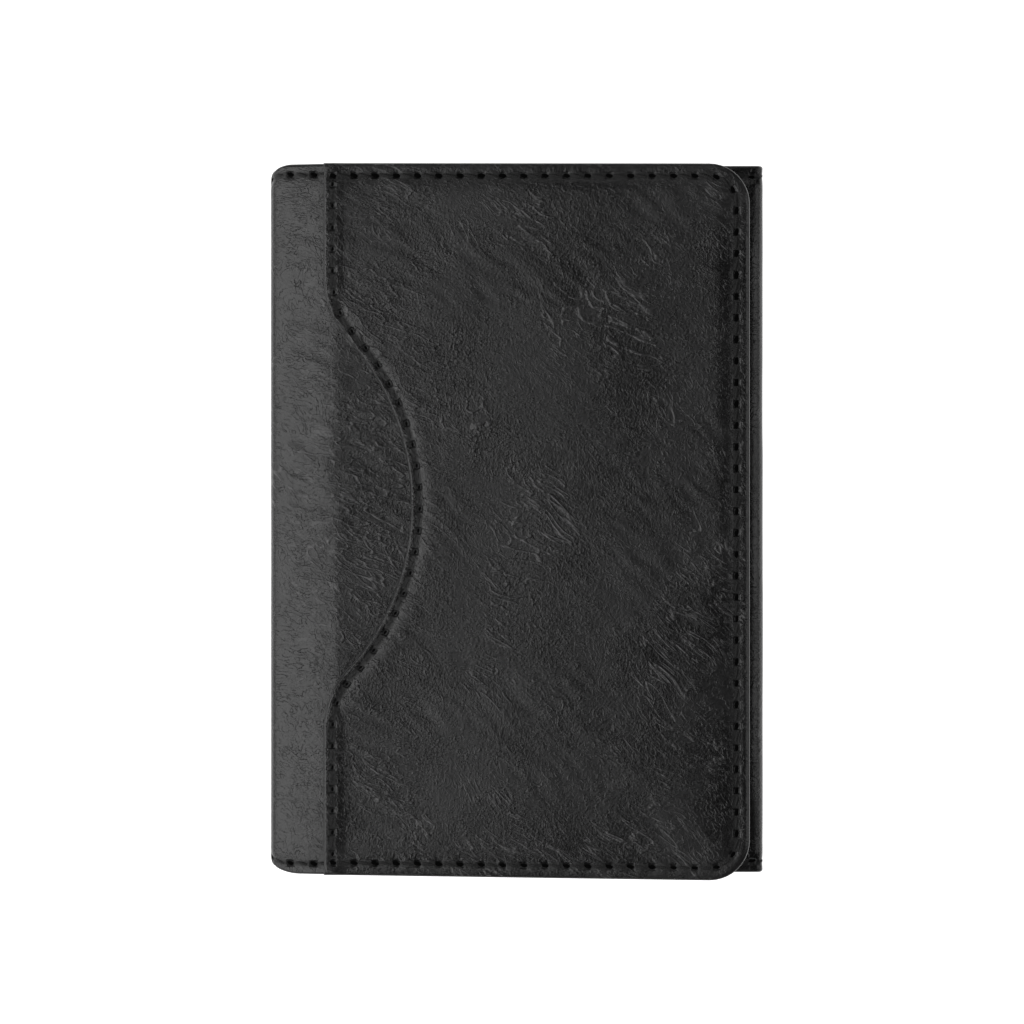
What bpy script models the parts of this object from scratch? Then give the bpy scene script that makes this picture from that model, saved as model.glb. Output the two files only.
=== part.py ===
"""Bifold card wallet with an outer thumb-cut pocket, modelled closed and lying on its back cover.

Frame: +X from the spine to the opposite fold, +Y from the bottom edge to the top edge, +Z up.
The origin is under the middle of the wallet, on the surface it lies on.  Lengths are in metres.

The outer leather is one long sheet.  It is laid out as a track of straights and bends, seen in
the XZ plane, and every leather stretch, lining and thread is a slice of that track.  The sheet
bends at three lines, so it is made as four rigid stretches that meet there.
"""

from dataclasses import dataclass
from math import acos, cos, pi, radians, sin, sqrt

import bmesh
import bpy
from mathutils import Matrix, Vector

MM = 0.001

# Overall sizes
HEIGHT = 100.0 * MM              # bottom edge to top edge
WIDTH = 69.6 * MM                # spine to the opposite fold, closed
CREASE_INSET = 9.5 * MM          # spine to the crease of the front flap
FLAP_SETBACK = 2.6 * MM          # how far the flap stops short of the opposite fold
FLAP_CORNER = 5.6 * MM           # radius of the flap's free corners

# Sheet thicknesses
SHELL = 0.8 * MM                 # outer leather
POCKET_LEATHER = 0.8 * MM        # outer pocket
SLOT_LEATHER = 0.5 * MM          # inner card slots
BOARD = 0.4 * MM
LINING = 0.25 * MM
POCKET_LINING = 0.2 * MM
LAYER_GAP = 0.2 * MM             # air and glue between two layers
POCKET_GAP = 0.3 * MM            # between the flap and the lining of the outer pocket
SLEEVE_SPACE = 0.95 * MM         # room for bank notes behind the inner leaf
FLAP_AIR = 1.15 * MM             # between the leaf and the flap's lining, at the crease

# Bends of the outer leather
SPINE_BEND = 1.8 * MM            # outer radius of both spine bends
CREASE_BEND = 3.0 * MM           # outer radius of the crease
STRIP_TILT = radians(14.0)       # slope between the spine and the crease
FLAP_TILT = radians(5.4)         # slope of the front flap
FOLD_CLEARANCE = 0.1 * MM        # left between two stretches when a spine bend is laid flat
CREASE_GAP = 0.3 * MM

# Margins, measured from the edges
LEAF_INSET = 13.0 * MM           # spine to the mouth of the inner leaf
BOARD_MARGIN = 2.5 * MM
LINING_MARGIN = 0.5 * MM
SLOT_MARGIN = 0.3 * MM
BACK_LINING_START = 3.3 * MM     # spine to the edge of the back lining
SLOT_STEP = 10.0 * MM            # crease to the first slot, and slot to slot
LEAF_SLOT_INSET = 22.8 * MM      # spine to the mouth of the slot on the leaf
LEAF_SLOT_SETBACK = 5.9 * MM     # how far that slot stops short of the opposite fold

# Outer pocket
POCKET_OVERHANG = 2.0 * MM       # how far its mouth reaches past the crease
POCKET_LINING_SETBACK = 0.7 * MM
THUMB_DEPTH = 12.3 * MM
THUMB_HALF_LENGTH = 31.9 * MM
THUMB_SHOULDER = 13.3 * MM       # radius where the cut leaves the straight mouth
THUMB_RISE = 2.1 * MM            # how far the cut's middle sits above the wallet's middle

# Thumb cuts of the inner slots
SLOT_CUT_DEPTH = 5.0 * MM
SLOT_CUT_HALF_LENGTH = 16.0 * MM
SLOT_CUT_SHOULDER = 6.0 * MM

# Seams
STITCH_MARGIN = 1.7 * MM         # leather edge to the middle of the seam
MOUTH_MARGIN = 1.25 * MM         # pocket mouth to the middle of its seam
THREAD_WIDTH = 0.5 * MM
THREAD_HEIGHT = 0.3 * MM
THREAD_CLEARANCE = 0.1 * MM      # all round a thread in its groove
SLOT_THREAD_HEIGHT = 0.15 * MM
SEAM_END = 1.0 * MM              # bare length left at the end of a seam
CUTTER_REACH = 0.3 * MM          # how far a groove's cutter stands out of the leather

BEND_STEPS = 10                  # facets in a quarter bend
CORNER_STEPS = 10                # facets in a quarter corner
CURVE_STEP = 1.2 * MM            # facet length along a thumb cut

# Heights that follow from the layers
BOARD_DEPTH = SHELL + LAYER_GAP
LINING_DEPTH = BOARD_DEPTH + BOARD + LAYER_GAP
FLAP_DEPTH = LINING_DEPTH + LINING
LEAF_TOP = FLAP_DEPTH + SLEEVE_SPACE + SHELL
CREASE_HEIGHT = LEAF_TOP + FLAP_AIR + FLAP_DEPTH
SLOT_DEPTH = FLAP_DEPTH + LAYER_GAP
POCKET_FLOOR = POCKET_GAP + POCKET_LINING + LAYER_GAP

LEFT = -WIDTH / 2
RIGHT = WIDTH / 2
HALF = HEIGHT / 2

# Two stretches with round ends meet at each spine bend.  The gap lets them turn a quarter turn, and
# the stretch is the distance along the outer surface for each unit along the leather's middle.
FOLD_GAP = SHELL * (sqrt(2.0) - 1.0) + FOLD_CLEARANCE
FOLD_STRETCH = SPINE_BEND / (SPINE_BEND - SHELL / 2)
FOLD_REACH = FOLD_GAP / 2 * FOLD_STRETCH

# Finishes: colour, roughness
LEATHER = ((0.022, 0.022, 0.023), 0.42)
LINING_CLOTH = ((0.035, 0.035, 0.037), 0.9)
STIFFENER = ((0.09, 0.085, 0.08), 0.8)
THREAD = ((0.008, 0.008, 0.009), 0.7)


@dataclass
class Leg:
    """One straight or one bend of the outer leather, on its outer surface."""

    start: Vector
    heading: float
    length: float
    radius: float = 0.0

    def at(self, distance, depth):
        """Point of the XZ plane at a distance along the leg and a depth below its outer surface."""
        if not self.radius:
            along = Vector((cos(self.heading), sin(self.heading)))
            outward = Vector((-sin(self.heading), cos(self.heading)))
            return self.start + along * distance - outward * depth
        outward = self.heading + pi / 2
        centre = self.start - Vector((cos(outward), sin(outward))) * self.radius
        angle = outward - distance / self.radius
        return centre + Vector((cos(angle), sin(angle))) * (self.radius - depth)

    def end_heading(self):
        """Heading where the leg ends; every bend turns clockwise."""
        return self.heading - (self.length / self.radius if self.radius else 0.0)


class Track:
    """The outer leather as a chain of legs, measured by distance along its outer surface."""

    def __init__(self, start, heading):
        self.legs = []
        self.starts = []
        self.total = 0.0
        self.tip = start
        self.heading = heading

    def add(self, length, radius=0.0):
        """Add a leg and return the distance at which it starts."""
        begun = self.total
        leg = Leg(self.tip, self.heading, length, radius)
        self.legs.append(leg)
        self.starts.append(begun)
        self.tip = leg.at(length, 0.0)
        self.heading = leg.end_heading()
        self.total += length
        return begun

    def bend(self, angle, radius):
        """Add a bend and return the distance of its middle."""
        return self.add(angle * radius, radius) + angle * radius / 2

    def point(self, distance, depth=0.0):
        """Point at a distance along the track and a depth below it."""
        index = max(i for i, begun in enumerate(self.starts) if i == 0 or begun <= distance)
        return self.legs[index].at(distance - self.starts[index], depth)

    def stations(self, first, last):
        """Distances that a slice from first to last needs for smooth bends."""
        found = [first, last]
        for leg, begun in zip(self.legs, self.starts):
            if leg.radius:
                steps = max(2, round(BEND_STEPS * leg.length / leg.radius / (pi / 2)))
                found += [begun + leg.length * i / steps for i in range(steps + 1)]
            else:
                found += [begun, begun + leg.length]
        inside = sorted(d for d in found if first <= d <= last)
        kept = [inside[0]]
        for distance in inside[1:]:
            if distance - kept[-1] > 0.02 * MM:
                kept.append(distance)
        kept[-1] = last
        return kept

    def slice(self, first, last, near, far, round_first=False, round_last=False):
        """Outline in the XZ plane of a sheet between two depths, with round ends where asked."""
        middle = (near + far) / 2
        half = (far - near) / 2
        begin = first + (half * FOLD_STRETCH if round_first else 0.0)
        finish = last - (half * FOLD_STRETCH if round_last else 0.0)
        spots = self.stations(begin, finish)
        outline = [self.point(d, near) for d in spots]
        if round_last:
            outline += self.cap(finish, middle, half, 1.0)
        outline += [self.point(d, far) for d in reversed(spots)]
        if round_first:
            outline += self.cap(begin, middle, half, -1.0)
        return outline

    def cap(self, distance, middle, half, side):
        """Round end of a sheet, as points from one face round to the other."""
        centre = self.point(distance, middle)
        up = (self.point(distance, middle - half) - centre) * side
        along = Vector((up.y, -up.x))
        turns = [pi * i / 6 for i in range(1, 6)]
        return [centre + up * cos(turn) + along * sin(turn) for turn in turns]


def wallet_track():
    """Lay out the outer leather and return it with the distances of its landmarks."""
    leaf_fold = LEAF_TOP / 2
    marks = {}
    track = Track(Vector((LEFT + LEAF_INSET, LEAF_TOP)), 0.0)
    marks["leaf"] = track.add(WIDTH - LEAF_INSET - leaf_fold)
    track.bend(pi, leaf_fold)
    marks["back"] = track.add(WIDTH - leaf_fold - SPINE_BEND)
    marks["rear_fold"] = track.bend(pi / 2, SPINE_BEND)
    strip_start = SPINE_BEND * (1 - sin(STRIP_TILT))
    strip = (CREASE_INSET - strip_start) / cos(STRIP_TILT)
    strip_foot = CREASE_HEIGHT - strip * sin(STRIP_TILT)
    wall = strip_foot - SPINE_BEND * cos(STRIP_TILT) - SPINE_BEND
    marks["wall"] = track.add(wall)
    marks["front_fold"] = track.bend(pi / 2 - STRIP_TILT, SPINE_BEND)
    crease = (STRIP_TILT - FLAP_TILT) * CREASE_BEND
    marks["strip"] = track.add(strip - crease / 2)
    marks["crease"] = track.bend(STRIP_TILT - FLAP_TILT, CREASE_BEND)
    marks["flap"] = track.add((WIDTH - CREASE_INSET - FLAP_SETBACK) / cos(FLAP_TILT))
    return track, marks


TRACK, MARKS = wallet_track()
FLAP_ORIGIN = TRACK.legs[-1].start
FLAP_LENGTH = TRACK.legs[-1].length


def clear_scene():
    """Remove everything that the scene starts with."""
    for thing in list(bpy.data.objects):
        bpy.data.objects.remove(thing, do_unlink=True)


def material(name, finish):
    """Principled material of one sub-part."""
    colour, roughness = finish
    made = bpy.data.materials.new(name)
    made.use_nodes = True
    shader = made.node_tree.nodes["Principled BSDF"]
    shader.inputs["Base Color"].default_value = (*colour, 1.0)
    shader.inputs["Roughness"].default_value = roughness
    shader.inputs["Metallic"].default_value = 0.0
    return made


def extrude(name, corners, offset):
    """Closed solid from a flat outline of 3-D points, extruded by an offset."""
    bm = bmesh.new()
    face = bm.faces.new([bm.verts.new(corner) for corner in corners])
    top = bmesh.ops.extrude_face_region(bm, geom=[face])["geom"]
    bmesh.ops.translate(bm, vec=offset, verts=[v for v in top if isinstance(v, bmesh.types.BMVert)])
    bmesh.ops.recalc_face_normals(bm, faces=bm.faces)
    if bm.calc_volume(signed=True) < 0:
        bmesh.ops.reverse_faces(bm, faces=bm.faces)
    mesh = bpy.data.meshes.new(name)
    bm.to_mesh(mesh)
    bm.free()
    made = bpy.data.objects.new(name, mesh)
    bpy.context.scene.collection.objects.link(made)
    return made


def place_origin(made, spot):
    """Move an object's origin to a point of the XZ plane without moving its faces."""
    shift = Vector((spot.x, 0.0, spot.y))
    made.data.transform(Matrix.Translation(-shift))
    made.location = shift


def across(name, outline, low, high):
    """Solid from an outline in the XZ plane, running along Y from low to high."""
    corners = [(p.x, low, p.y) for p in outline]
    return extrude(name, corners, Vector((0.0, high - low, 0.0)))


def on_flap(name, outline, near, far):
    """Solid from an outline in the flap's own plane, between two depths below its leather."""
    along = Vector((cos(FLAP_TILT), 0.0, sin(FLAP_TILT)))
    inward = Vector((sin(FLAP_TILT), 0.0, -cos(FLAP_TILT)))
    foot = Vector((FLAP_ORIGIN.x, 0.0, FLAP_ORIGIN.y)) + inward * near
    corners = [foot + along * u + Vector((0.0, v, 0.0)) for u, v in outline]
    return extrude(name, corners, inward * (far - near))


def flat(name, outline, low, high):
    """Solid from an outline in the XY plane, between two heights."""
    corners = [(x, y, low) for x, y in outline]
    return extrude(name, corners, Vector((0.0, 0.0, high - low)))


def dress(made, finish, body_origin=None):
    """Give a sub-part its own material and, on a moving body, its origin on the joint's axis."""
    made.data.materials.append(material(made.name, finish))
    if body_origin is not None:
        place_origin(made, body_origin)
    return made


def cut(made, cutter):
    """Cut a hidden tool out of a solid."""
    cutter.hide_render = True
    cutter.display_type = "WIRE"
    tool = made.modifiers.new(cutter.name, "BOOLEAN")
    tool.operation = "DIFFERENCE"
    tool.solver = "EXACT"
    tool.object = cutter


def arc(centre, radius, begin, finish, steps):
    """Points along an arc, both ends included."""
    turns = [begin + (finish - begin) * i / steps for i in range(steps + 1)]
    return [(centre[0] + radius * cos(t), centre[1] + radius * sin(t)) for t in turns]


def thumb_cut(depth, half_length, shoulder, inset=0.0):
    """Points from the bottom of a thumb cut to its top: a wide arc between two shoulder arcs.

    An inset moves the whole curve into the leather by that much.
    """
    reach = (half_length ** 2 + depth ** 2) / (2 * depth)
    middle = reach - shoulder
    sweep = acos(1 - depth / reach)
    wide = middle + inset
    tight = shoulder - inset
    centre = depth - middle
    steps = max(6, round(wide * 2 * sweep / CURVE_STEP))
    corner = max(4, round(tight * sweep / CURVE_STEP))
    low = arc((shoulder, -half_length), tight, pi, pi - sweep, corner)
    mid = arc((centre, 0.0), wide, -sweep, sweep, steps)
    high = arc((shoulder, half_length), tight, pi + sweep, pi, corner)
    return low + mid[1:] + high[1:]


def mouth(edge, low, high, cut_curve, rise):
    """Mouth of a pocket from its top end to its bottom end, with its thumb cut."""
    curve = [(edge + x, y + rise) for x, y in reversed(cut_curve)]
    return [(edge + cut_curve[-1][0], high)] + curve + [(edge + cut_curve[0][0], low)]


def free_end(end, low, high, corner):
    """Free end of a panel from bottom to top, with two round corners."""
    bottom = arc((end - corner, low + corner), corner, -pi / 2, 0.0, CORNER_STEPS)
    top = arc((end - corner, high - corner), corner, 0.0, pi / 2, CORNER_STEPS)
    return bottom + top


def ribbon(points, width):
    """Outline of a band of even width along a path of flat points."""
    path = [Vector(p) for p in points]
    sides = []
    for i, spot in enumerate(path):
        before = (spot - path[i - 1]).normalized() if i else None
        after = (path[i + 1] - spot).normalized() if i + 1 < len(path) else None
        heading = (before or after) + (after or before)
        normal = Vector((-heading.y, heading.x)).normalized()
        spread = 1.0 if before is None or after is None else 1.0 / sqrt((1 + before.dot(after)) / 2)
        sides.append(normal * width / 2 * spread)
    left = [tuple(p + s) for p, s in zip(path, sides)]
    right = [tuple(p - s) for p, s in zip(path, sides)]
    return left + right[::-1]


def lengthen(points, by):
    """The same path with both ends drawn out."""
    first, second = Vector(points[0]), Vector(points[1])
    last, before = Vector(points[-1]), Vector(points[-2])
    head = first + (first - second).normalized() * by
    tail = last + (last - before).normalized() * by
    return [tuple(head)] + list(points[1:-1]) + [tuple(tail)]


def sew(leather, name, path, place, top, height, owner):
    """Sink a groove into a flat leather piece and lay one length of thread in it.

    place is the function that makes a solid in the piece's plane; top is its upper surface
    as that function measures it, and owner is the joint axis of the moving body.
    """
    inward = 1.0 if place is on_flap else -1.0
    floor = top + inward * (height + THREAD_CLEARANCE)
    wide = ribbon(lengthen(path, THREAD_CLEARANCE), THREAD_WIDTH + 2 * THREAD_CLEARANCE)
    cutter = place(name + "_groove", wide, top - inward * MM, floor)
    cut(leather, cutter)
    thread = place(name, ribbon(path, THREAD_WIDTH), top, top + inward * height)
    return dress(thread, THREAD, owner)


def sew_across(leather, name, first, last, side, owner, open_ends):
    """Sink a groove that follows the track into a leather stretch and lay its thread in it."""
    line = side * (HALF - STITCH_MARGIN)
    half_groove = THREAD_WIDTH / 2 + THREAD_CLEARANCE
    reach = MM if open_ends else THREAD_CLEARANCE
    deep = THREAD_HEIGHT + THREAD_CLEARANCE
    hole = TRACK.slice(first - reach, last + reach, -CUTTER_REACH, deep)
    cut(leather, across(name + "_groove", hole, line - half_groove, line + half_groove))
    bar = TRACK.slice(first, last, 0.0, THREAD_HEIGHT)
    thread = across(name, bar, line - THREAD_WIDTH / 2, line + THREAD_WIDTH / 2)
    return dress(thread, THREAD, owner)


def axis_of(mark):
    """Axis of a bend line: the middle of the leather in the middle of the bend."""
    return TRACK.point(MARKS[mark], SHELL / 2)


def back_cover():
    """The root body: leather that turns over into the leaf, board, lining and one card slot."""
    fold = MARKS["rear_fold"]
    outline = TRACK.slice(0.0, fold - FOLD_REACH, 0.0, SHELL, round_last=True)
    shell = dress(across("back_shell", outline, -HALF, HALF), LEATHER)
    leaf_end = MARKS["leaf"] + WIDTH - LEAF_INSET - LEAF_TOP / 2
    back_end = MARKS["back"] + WIDTH - LEAF_TOP / 2 - SPINE_BEND
    for side, word in ((1, "top"), (-1, "bottom")):
        sew_across(shell, "leaf_thread_" + word, SEAM_END, leaf_end, side, None, False)
        sew_across(shell, "back_thread_" + word, MARKS["back"], back_end, side, None, False)

    inner = LEAF_TOP / 2 - SHELL
    board_right = RIGHT - SHELL - inner - LAYER_GAP
    board_left = LEFT + SPINE_BEND + BOARD_MARGIN
    board = flat("back_board", rectangle(board_left, board_right, HALF - BOARD_MARGIN),
                 BOARD_DEPTH, BOARD_DEPTH + BOARD)
    dress(board, STIFFENER)
    lining_right = RIGHT - SHELL - inner / 2 - LAYER_GAP
    lining = flat("back_lining", rectangle(LEFT + BACK_LINING_START, lining_right, HALF - LINING_MARGIN),
                  LINING_DEPTH, LINING_DEPTH + LINING)
    dress(lining, LINING_CLOTH)

    low = LEAF_TOP + LAYER_GAP
    edge = LEFT + LEAF_SLOT_INSET
    reach = HALF - SLOT_MARGIN
    curve = thumb_cut(SLOT_CUT_DEPTH, SLOT_CUT_HALF_LENGTH, SLOT_CUT_SHOULDER)
    outline = mouth(edge, -reach, reach, curve, 0.0)
    outline += free_end(RIGHT - LEAF_SLOT_SETBACK, -reach, reach, FLAP_CORNER - SLOT_MARGIN)
    slot = dress(flat("leaf_slot", outline, low, low + SLOT_LEATHER), LEATHER)
    sew(slot, "leaf_slot_thread", slot_seam(edge), flat, low + SLOT_LEATHER, SLOT_THREAD_HEIGHT, None)


def rectangle(left, right, half):
    """Rectangle that is symmetric about the X axis."""
    return [(left, -half), (right, -half), (right, half), (left, half)]


def slot_seam(edge):
    """Seam along the mouth of an inner card slot."""
    curve = thumb_cut(SLOT_CUT_DEPTH, SLOT_CUT_HALF_LENGTH, SLOT_CUT_SHOULDER, MOUTH_MARGIN)
    end = HALF - SLOT_MARGIN - SEAM_END
    return mouth(edge, -end, end, curve, 0.0)


def spine():
    """The narrow side wall between the two spine bends, with its lining."""
    first = MARKS["rear_fold"] + FOLD_REACH
    last = MARKS["front_fold"] - FOLD_REACH
    axis = axis_of("rear_fold")
    outline = TRACK.slice(first, last, 0.0, SHELL, round_first=True, round_last=True)
    shell = dress(across("spine_shell", outline, -HALF, HALF), LEATHER, axis)
    for side, word in ((1, "top"), (-1, "bottom")):
        sew_across(shell, "spine_thread_" + word, first + SHELL, last - SHELL, side, axis, True)
    start = MARKS["wall"]
    end = MARKS["front_fold"] - (pi / 2 - STRIP_TILT) * SPINE_BEND / 2
    depth = SHELL + LAYER_GAP
    lining = across("spine_lining", TRACK.slice(start, end, depth, depth + LINING),
                    LINING_MARGIN - HALF, HALF - LINING_MARGIN)
    dress(lining, LINING_CLOTH, axis)


def strip():
    """The sloping stretch from the spine to the crease, with its lining."""
    first = MARKS["front_fold"] + FOLD_REACH
    last = MARKS["crease"] - CREASE_GAP / 2
    axis = axis_of("front_fold")
    outline = TRACK.slice(first, last, 0.0, SHELL, round_first=True)
    shell = dress(across("strip_shell", outline, -HALF, HALF), LEATHER, axis)
    for side, word in ((1, "top"), (-1, "bottom")):
        sew_across(shell, "strip_thread_" + word, first + SHELL, last - CREASE_GAP, side, axis, True)
    depth = SHELL + LAYER_GAP
    outline = TRACK.slice(MARKS["strip"] + LAYER_GAP, last - CREASE_GAP, depth, depth + LINING)
    lining = across("strip_lining", outline, LINING_MARGIN - HALF, HALF - LINING_MARGIN)
    dress(lining, LINING_CLOTH, axis)


def front_flap():
    """The front flap: leather, board, lining, the outer pocket and two inner card slots."""
    axis = axis_of("crease")
    start = CREASE_GAP
    shell = panel(start, HALF, FLAP_LENGTH, FLAP_CORNER)
    dress(on_flap("flap_shell", shell, 0.0, SHELL), LEATHER, axis)
    board = panel(BOARD_MARGIN, HALF - BOARD_MARGIN, FLAP_LENGTH - BOARD_MARGIN, FLAP_CORNER - STITCH_MARGIN)
    dress(on_flap("flap_board", board, BOARD_DEPTH, BOARD_DEPTH + BOARD), STIFFENER, axis)
    lining = panel(start + LINING_MARGIN, HALF - LINING_MARGIN, FLAP_LENGTH - LINING_MARGIN,
                   FLAP_CORNER - LINING_MARGIN)
    dress(on_flap("flap_lining", lining, LINING_DEPTH, LINING_DEPTH + LINING), LINING_CLOTH, axis)

    curve = thumb_cut(SLOT_CUT_DEPTH, SLOT_CUT_HALF_LENGTH, SLOT_CUT_SHOULDER)
    reach = HALF - SLOT_MARGIN
    for order, word in enumerate(("rear", "front")):
        near = SLOT_DEPTH + order * (SLOT_LEATHER + LAYER_GAP)
        edge = SLOT_STEP * (order + 1)
        outline = mouth(edge, -reach, reach, curve, 0.0)
        outline += free_end(FLAP_LENGTH - SLOT_MARGIN, -reach, reach, FLAP_CORNER - SLOT_MARGIN)
        slot = dress(on_flap("flap_slot_" + word, outline, near, near + SLOT_LEATHER), LEATHER, axis)
        sew_inside(slot, "flap_slot_thread_" + word, slot_seam(edge), near + SLOT_LEATHER, axis)
    outer_pocket(axis)


def panel(start, half, end, corner):
    """Outline of a flap layer: square at the crease, round at the free corners."""
    return [(start, half), (start, -half)] + free_end(end, -half, half, corner)


def sew_inside(leather, name, path, face, owner):
    """Sew a thread into the inner face of a flap layer."""
    wide = ribbon(lengthen(path, THREAD_CLEARANCE), THREAD_WIDTH + 2 * THREAD_CLEARANCE)
    floor = face - SLOT_THREAD_HEIGHT - THREAD_CLEARANCE
    cut(leather, on_flap(name + "_groove", wide, floor, face + CUTTER_REACH))
    thread = on_flap(name, ribbon(path, THREAD_WIDTH), face - SLOT_THREAD_HEIGHT, face)
    dress(thread, THREAD, owner)


def outer_pocket(axis):
    """The card pocket on the front of the flap, with its lining and its two seams."""
    edge = -POCKET_OVERHANG
    top = -(POCKET_FLOOR + POCKET_LEATHER)
    curve = thumb_cut(THUMB_DEPTH, THUMB_HALF_LENGTH, THUMB_SHOULDER)
    outline = mouth(edge, -HALF, HALF, curve, THUMB_RISE)
    outline += free_end(FLAP_LENGTH, -HALF, HALF, FLAP_CORNER)
    pocket = dress(on_flap("outer_pocket", outline, top, -POCKET_FLOOR), LEATHER, axis)

    half = HALF - LINING_MARGIN
    curve = thumb_cut(THUMB_DEPTH, THUMB_HALF_LENGTH, THUMB_SHOULDER, POCKET_LINING_SETBACK)
    outline = mouth(edge, -half, half, curve, THUMB_RISE)
    outline += free_end(FLAP_LENGTH - LINING_MARGIN, -half, half, FLAP_CORNER - LINING_MARGIN)
    lining = on_flap("outer_pocket_lining", outline, -POCKET_GAP - POCKET_LINING, -POCKET_GAP)
    dress(lining, LINING_CLOTH, axis)

    seam = HALF - STITCH_MARGIN
    mouth_line = edge + MOUTH_MARGIN
    perimeter = [(mouth_line + SEAM_END, -seam)]
    perimeter += free_end(FLAP_LENGTH - STITCH_MARGIN, -seam, seam, FLAP_CORNER - STITCH_MARGIN)
    perimeter += [(mouth_line + SEAM_END, seam)]
    sew(pocket, "flap_thread", perimeter, on_flap, top, THREAD_HEIGHT, axis)
    end = seam - SEAM_END
    curve = thumb_cut(THUMB_DEPTH, THUMB_HALF_LENGTH, THUMB_SHOULDER, MOUTH_MARGIN)
    sew(pocket, "mouth_thread", mouth(edge, -end, end, curve, THUMB_RISE), on_flap, top, THREAD_HEIGHT, axis)


def main():
    """Build the wallet, closed."""
    clear_scene()
    back_cover()
    spine()
    strip()
    front_flap()


main()
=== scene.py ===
"""Looks of a slim upright bifold wallet: leather, linings, card pockets and stitching.

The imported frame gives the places; everything here is built in millimetres and written in metres.
Leather pieces are closed sheets over a flat pattern.  A point of a sheet is given by its place in
that pattern and its depth below the outer surface, and a profile carries it to its place on the
wallet.
"""

import logging
from collections.abc import Callable
from dataclasses import dataclass, field
from enum import Enum
from functools import partial
from math import acos, cos, pi, radians, sin

import bmesh
import bpy
import numpy as np
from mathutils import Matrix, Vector


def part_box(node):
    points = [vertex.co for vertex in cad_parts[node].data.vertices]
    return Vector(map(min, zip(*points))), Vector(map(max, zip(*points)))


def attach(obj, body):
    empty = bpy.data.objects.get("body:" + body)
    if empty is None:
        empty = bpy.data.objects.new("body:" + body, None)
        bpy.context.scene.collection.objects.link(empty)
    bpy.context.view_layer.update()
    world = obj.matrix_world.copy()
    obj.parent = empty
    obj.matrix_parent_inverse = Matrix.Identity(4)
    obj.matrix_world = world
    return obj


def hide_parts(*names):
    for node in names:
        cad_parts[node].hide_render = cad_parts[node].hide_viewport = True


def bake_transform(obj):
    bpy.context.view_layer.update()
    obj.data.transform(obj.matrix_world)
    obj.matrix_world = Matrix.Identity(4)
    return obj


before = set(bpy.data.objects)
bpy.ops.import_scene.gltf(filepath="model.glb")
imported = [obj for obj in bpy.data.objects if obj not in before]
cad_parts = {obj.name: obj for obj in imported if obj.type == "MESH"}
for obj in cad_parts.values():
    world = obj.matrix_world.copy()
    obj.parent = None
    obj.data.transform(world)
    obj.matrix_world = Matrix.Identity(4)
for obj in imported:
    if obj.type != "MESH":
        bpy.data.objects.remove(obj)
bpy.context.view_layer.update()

log = logging.getLogger("wallet")
MM = 0.001
Grid = np.ndarray
Place = Callable[[Grid, Grid, Grid], Grid]


class Body(str, Enum):
    """Rigid bodies of the frame."""

    BACK = "back_cover"
    SPINE = "spine"
    STRIP = "crease_strip"
    FLAP = "front_flap"


class Weave(Enum):
    """Kinds of cloth surface, by threads for each millimetre."""

    LINING = 2.6
    THREAD = 3.4


# ---------------------------------------------------------------------------------------------
# Small numeric tools
# ---------------------------------------------------------------------------------------------

def smooth(low: float, high: float, value: Grid) -> Grid:
    """Ease from 0 at low to 1 at high.

    Args:
        low: value where the result leaves 0.
        high: value where the result reaches 1.
        value: numbers to ease.

    Returns:
        Eased numbers between 0 and 1.
    """
    share = np.clip((value - low) / (high - low), 0.0, 1.0)
    return share * share * (3.0 - 2.0 * share)


def eased(low: float, high: Grid, value: Grid) -> Grid:
    """Rise from 0 at low to 1 at high, fast at first and level at the end."""
    share = np.clip((value - low) / (high - low), 0.0, 1.0)
    return 1.0 - (1.0 - share) ** 2


@dataclass
class Relief:
    """Seeded smooth noise over a flat pattern, from -1 to 1."""

    seed: int
    size: int = 64
    cells: Grid = field(init=False, repr=False)

    def __post_init__(self) -> None:
        """Fill the lattice."""
        self.cells = np.random.default_rng(self.seed).uniform(-1.0, 1.0, (self.size, self.size))

    def at(self, along: Grid, across: Grid, length: float, width: float | None = None) -> Grid:
        """Noise at pattern places.

        Args:
            along: first pattern coordinate, in millimetres.
            across: second pattern coordinate, in millimetres.
            length: size of one swell along the first coordinate.
            width: size of one swell along the second, the same if left out.

        Returns:
            Noise from -1 to 1 at each place.
        """
        u = along / length + 31.7
        v = across / (width or length) + 17.3
        i, j = np.floor(u).astype(int), np.floor(v).astype(int)
        a, b = u - i, v - j
        a = a * a * a * (a * (a * 6 - 15) + 10)
        b = b * b * b * (b * (b * 6 - 15) + 10)
        n = self.size
        near = self.cells[i % n, j % n] * (1 - a) + self.cells[(i + 1) % n, j % n] * a
        far = self.cells[i % n, (j + 1) % n] * (1 - a) + self.cells[(i + 1) % n, (j + 1) % n] * a
        return near * (1 - b) + far * b


def rim_steps(radius: float) -> list[float]:
    """Distances from an edge that make it a half round of a radius."""
    return [radius * (1.0 - cos(pi / 2 * i / 4)) for i in range(5)]


def rows_between(low: float, high: float, step: float, rim: float) -> Grid:
    """Places from one edge to another, close together at both.

    Args:
        low: first edge.
        high: second edge.
        step: spacing away from the edges.
        rim: radius of the rounding at the edges.

    Returns:
        Rising places, both edges included.
    """
    near = rim_steps(rim)
    count = max(2, round((high - low - 2 * rim) / step))
    middle = np.linspace(low + rim, high - rim, count + 1)
    head = [low + d for d in near[:-1]]
    tail = [high - d for d in reversed(near[:-1])]
    return np.array(head + list(middle) + tail)


# ---------------------------------------------------------------------------------------------
# The wallet's sizes and its cross-section
# ---------------------------------------------------------------------------------------------

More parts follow.
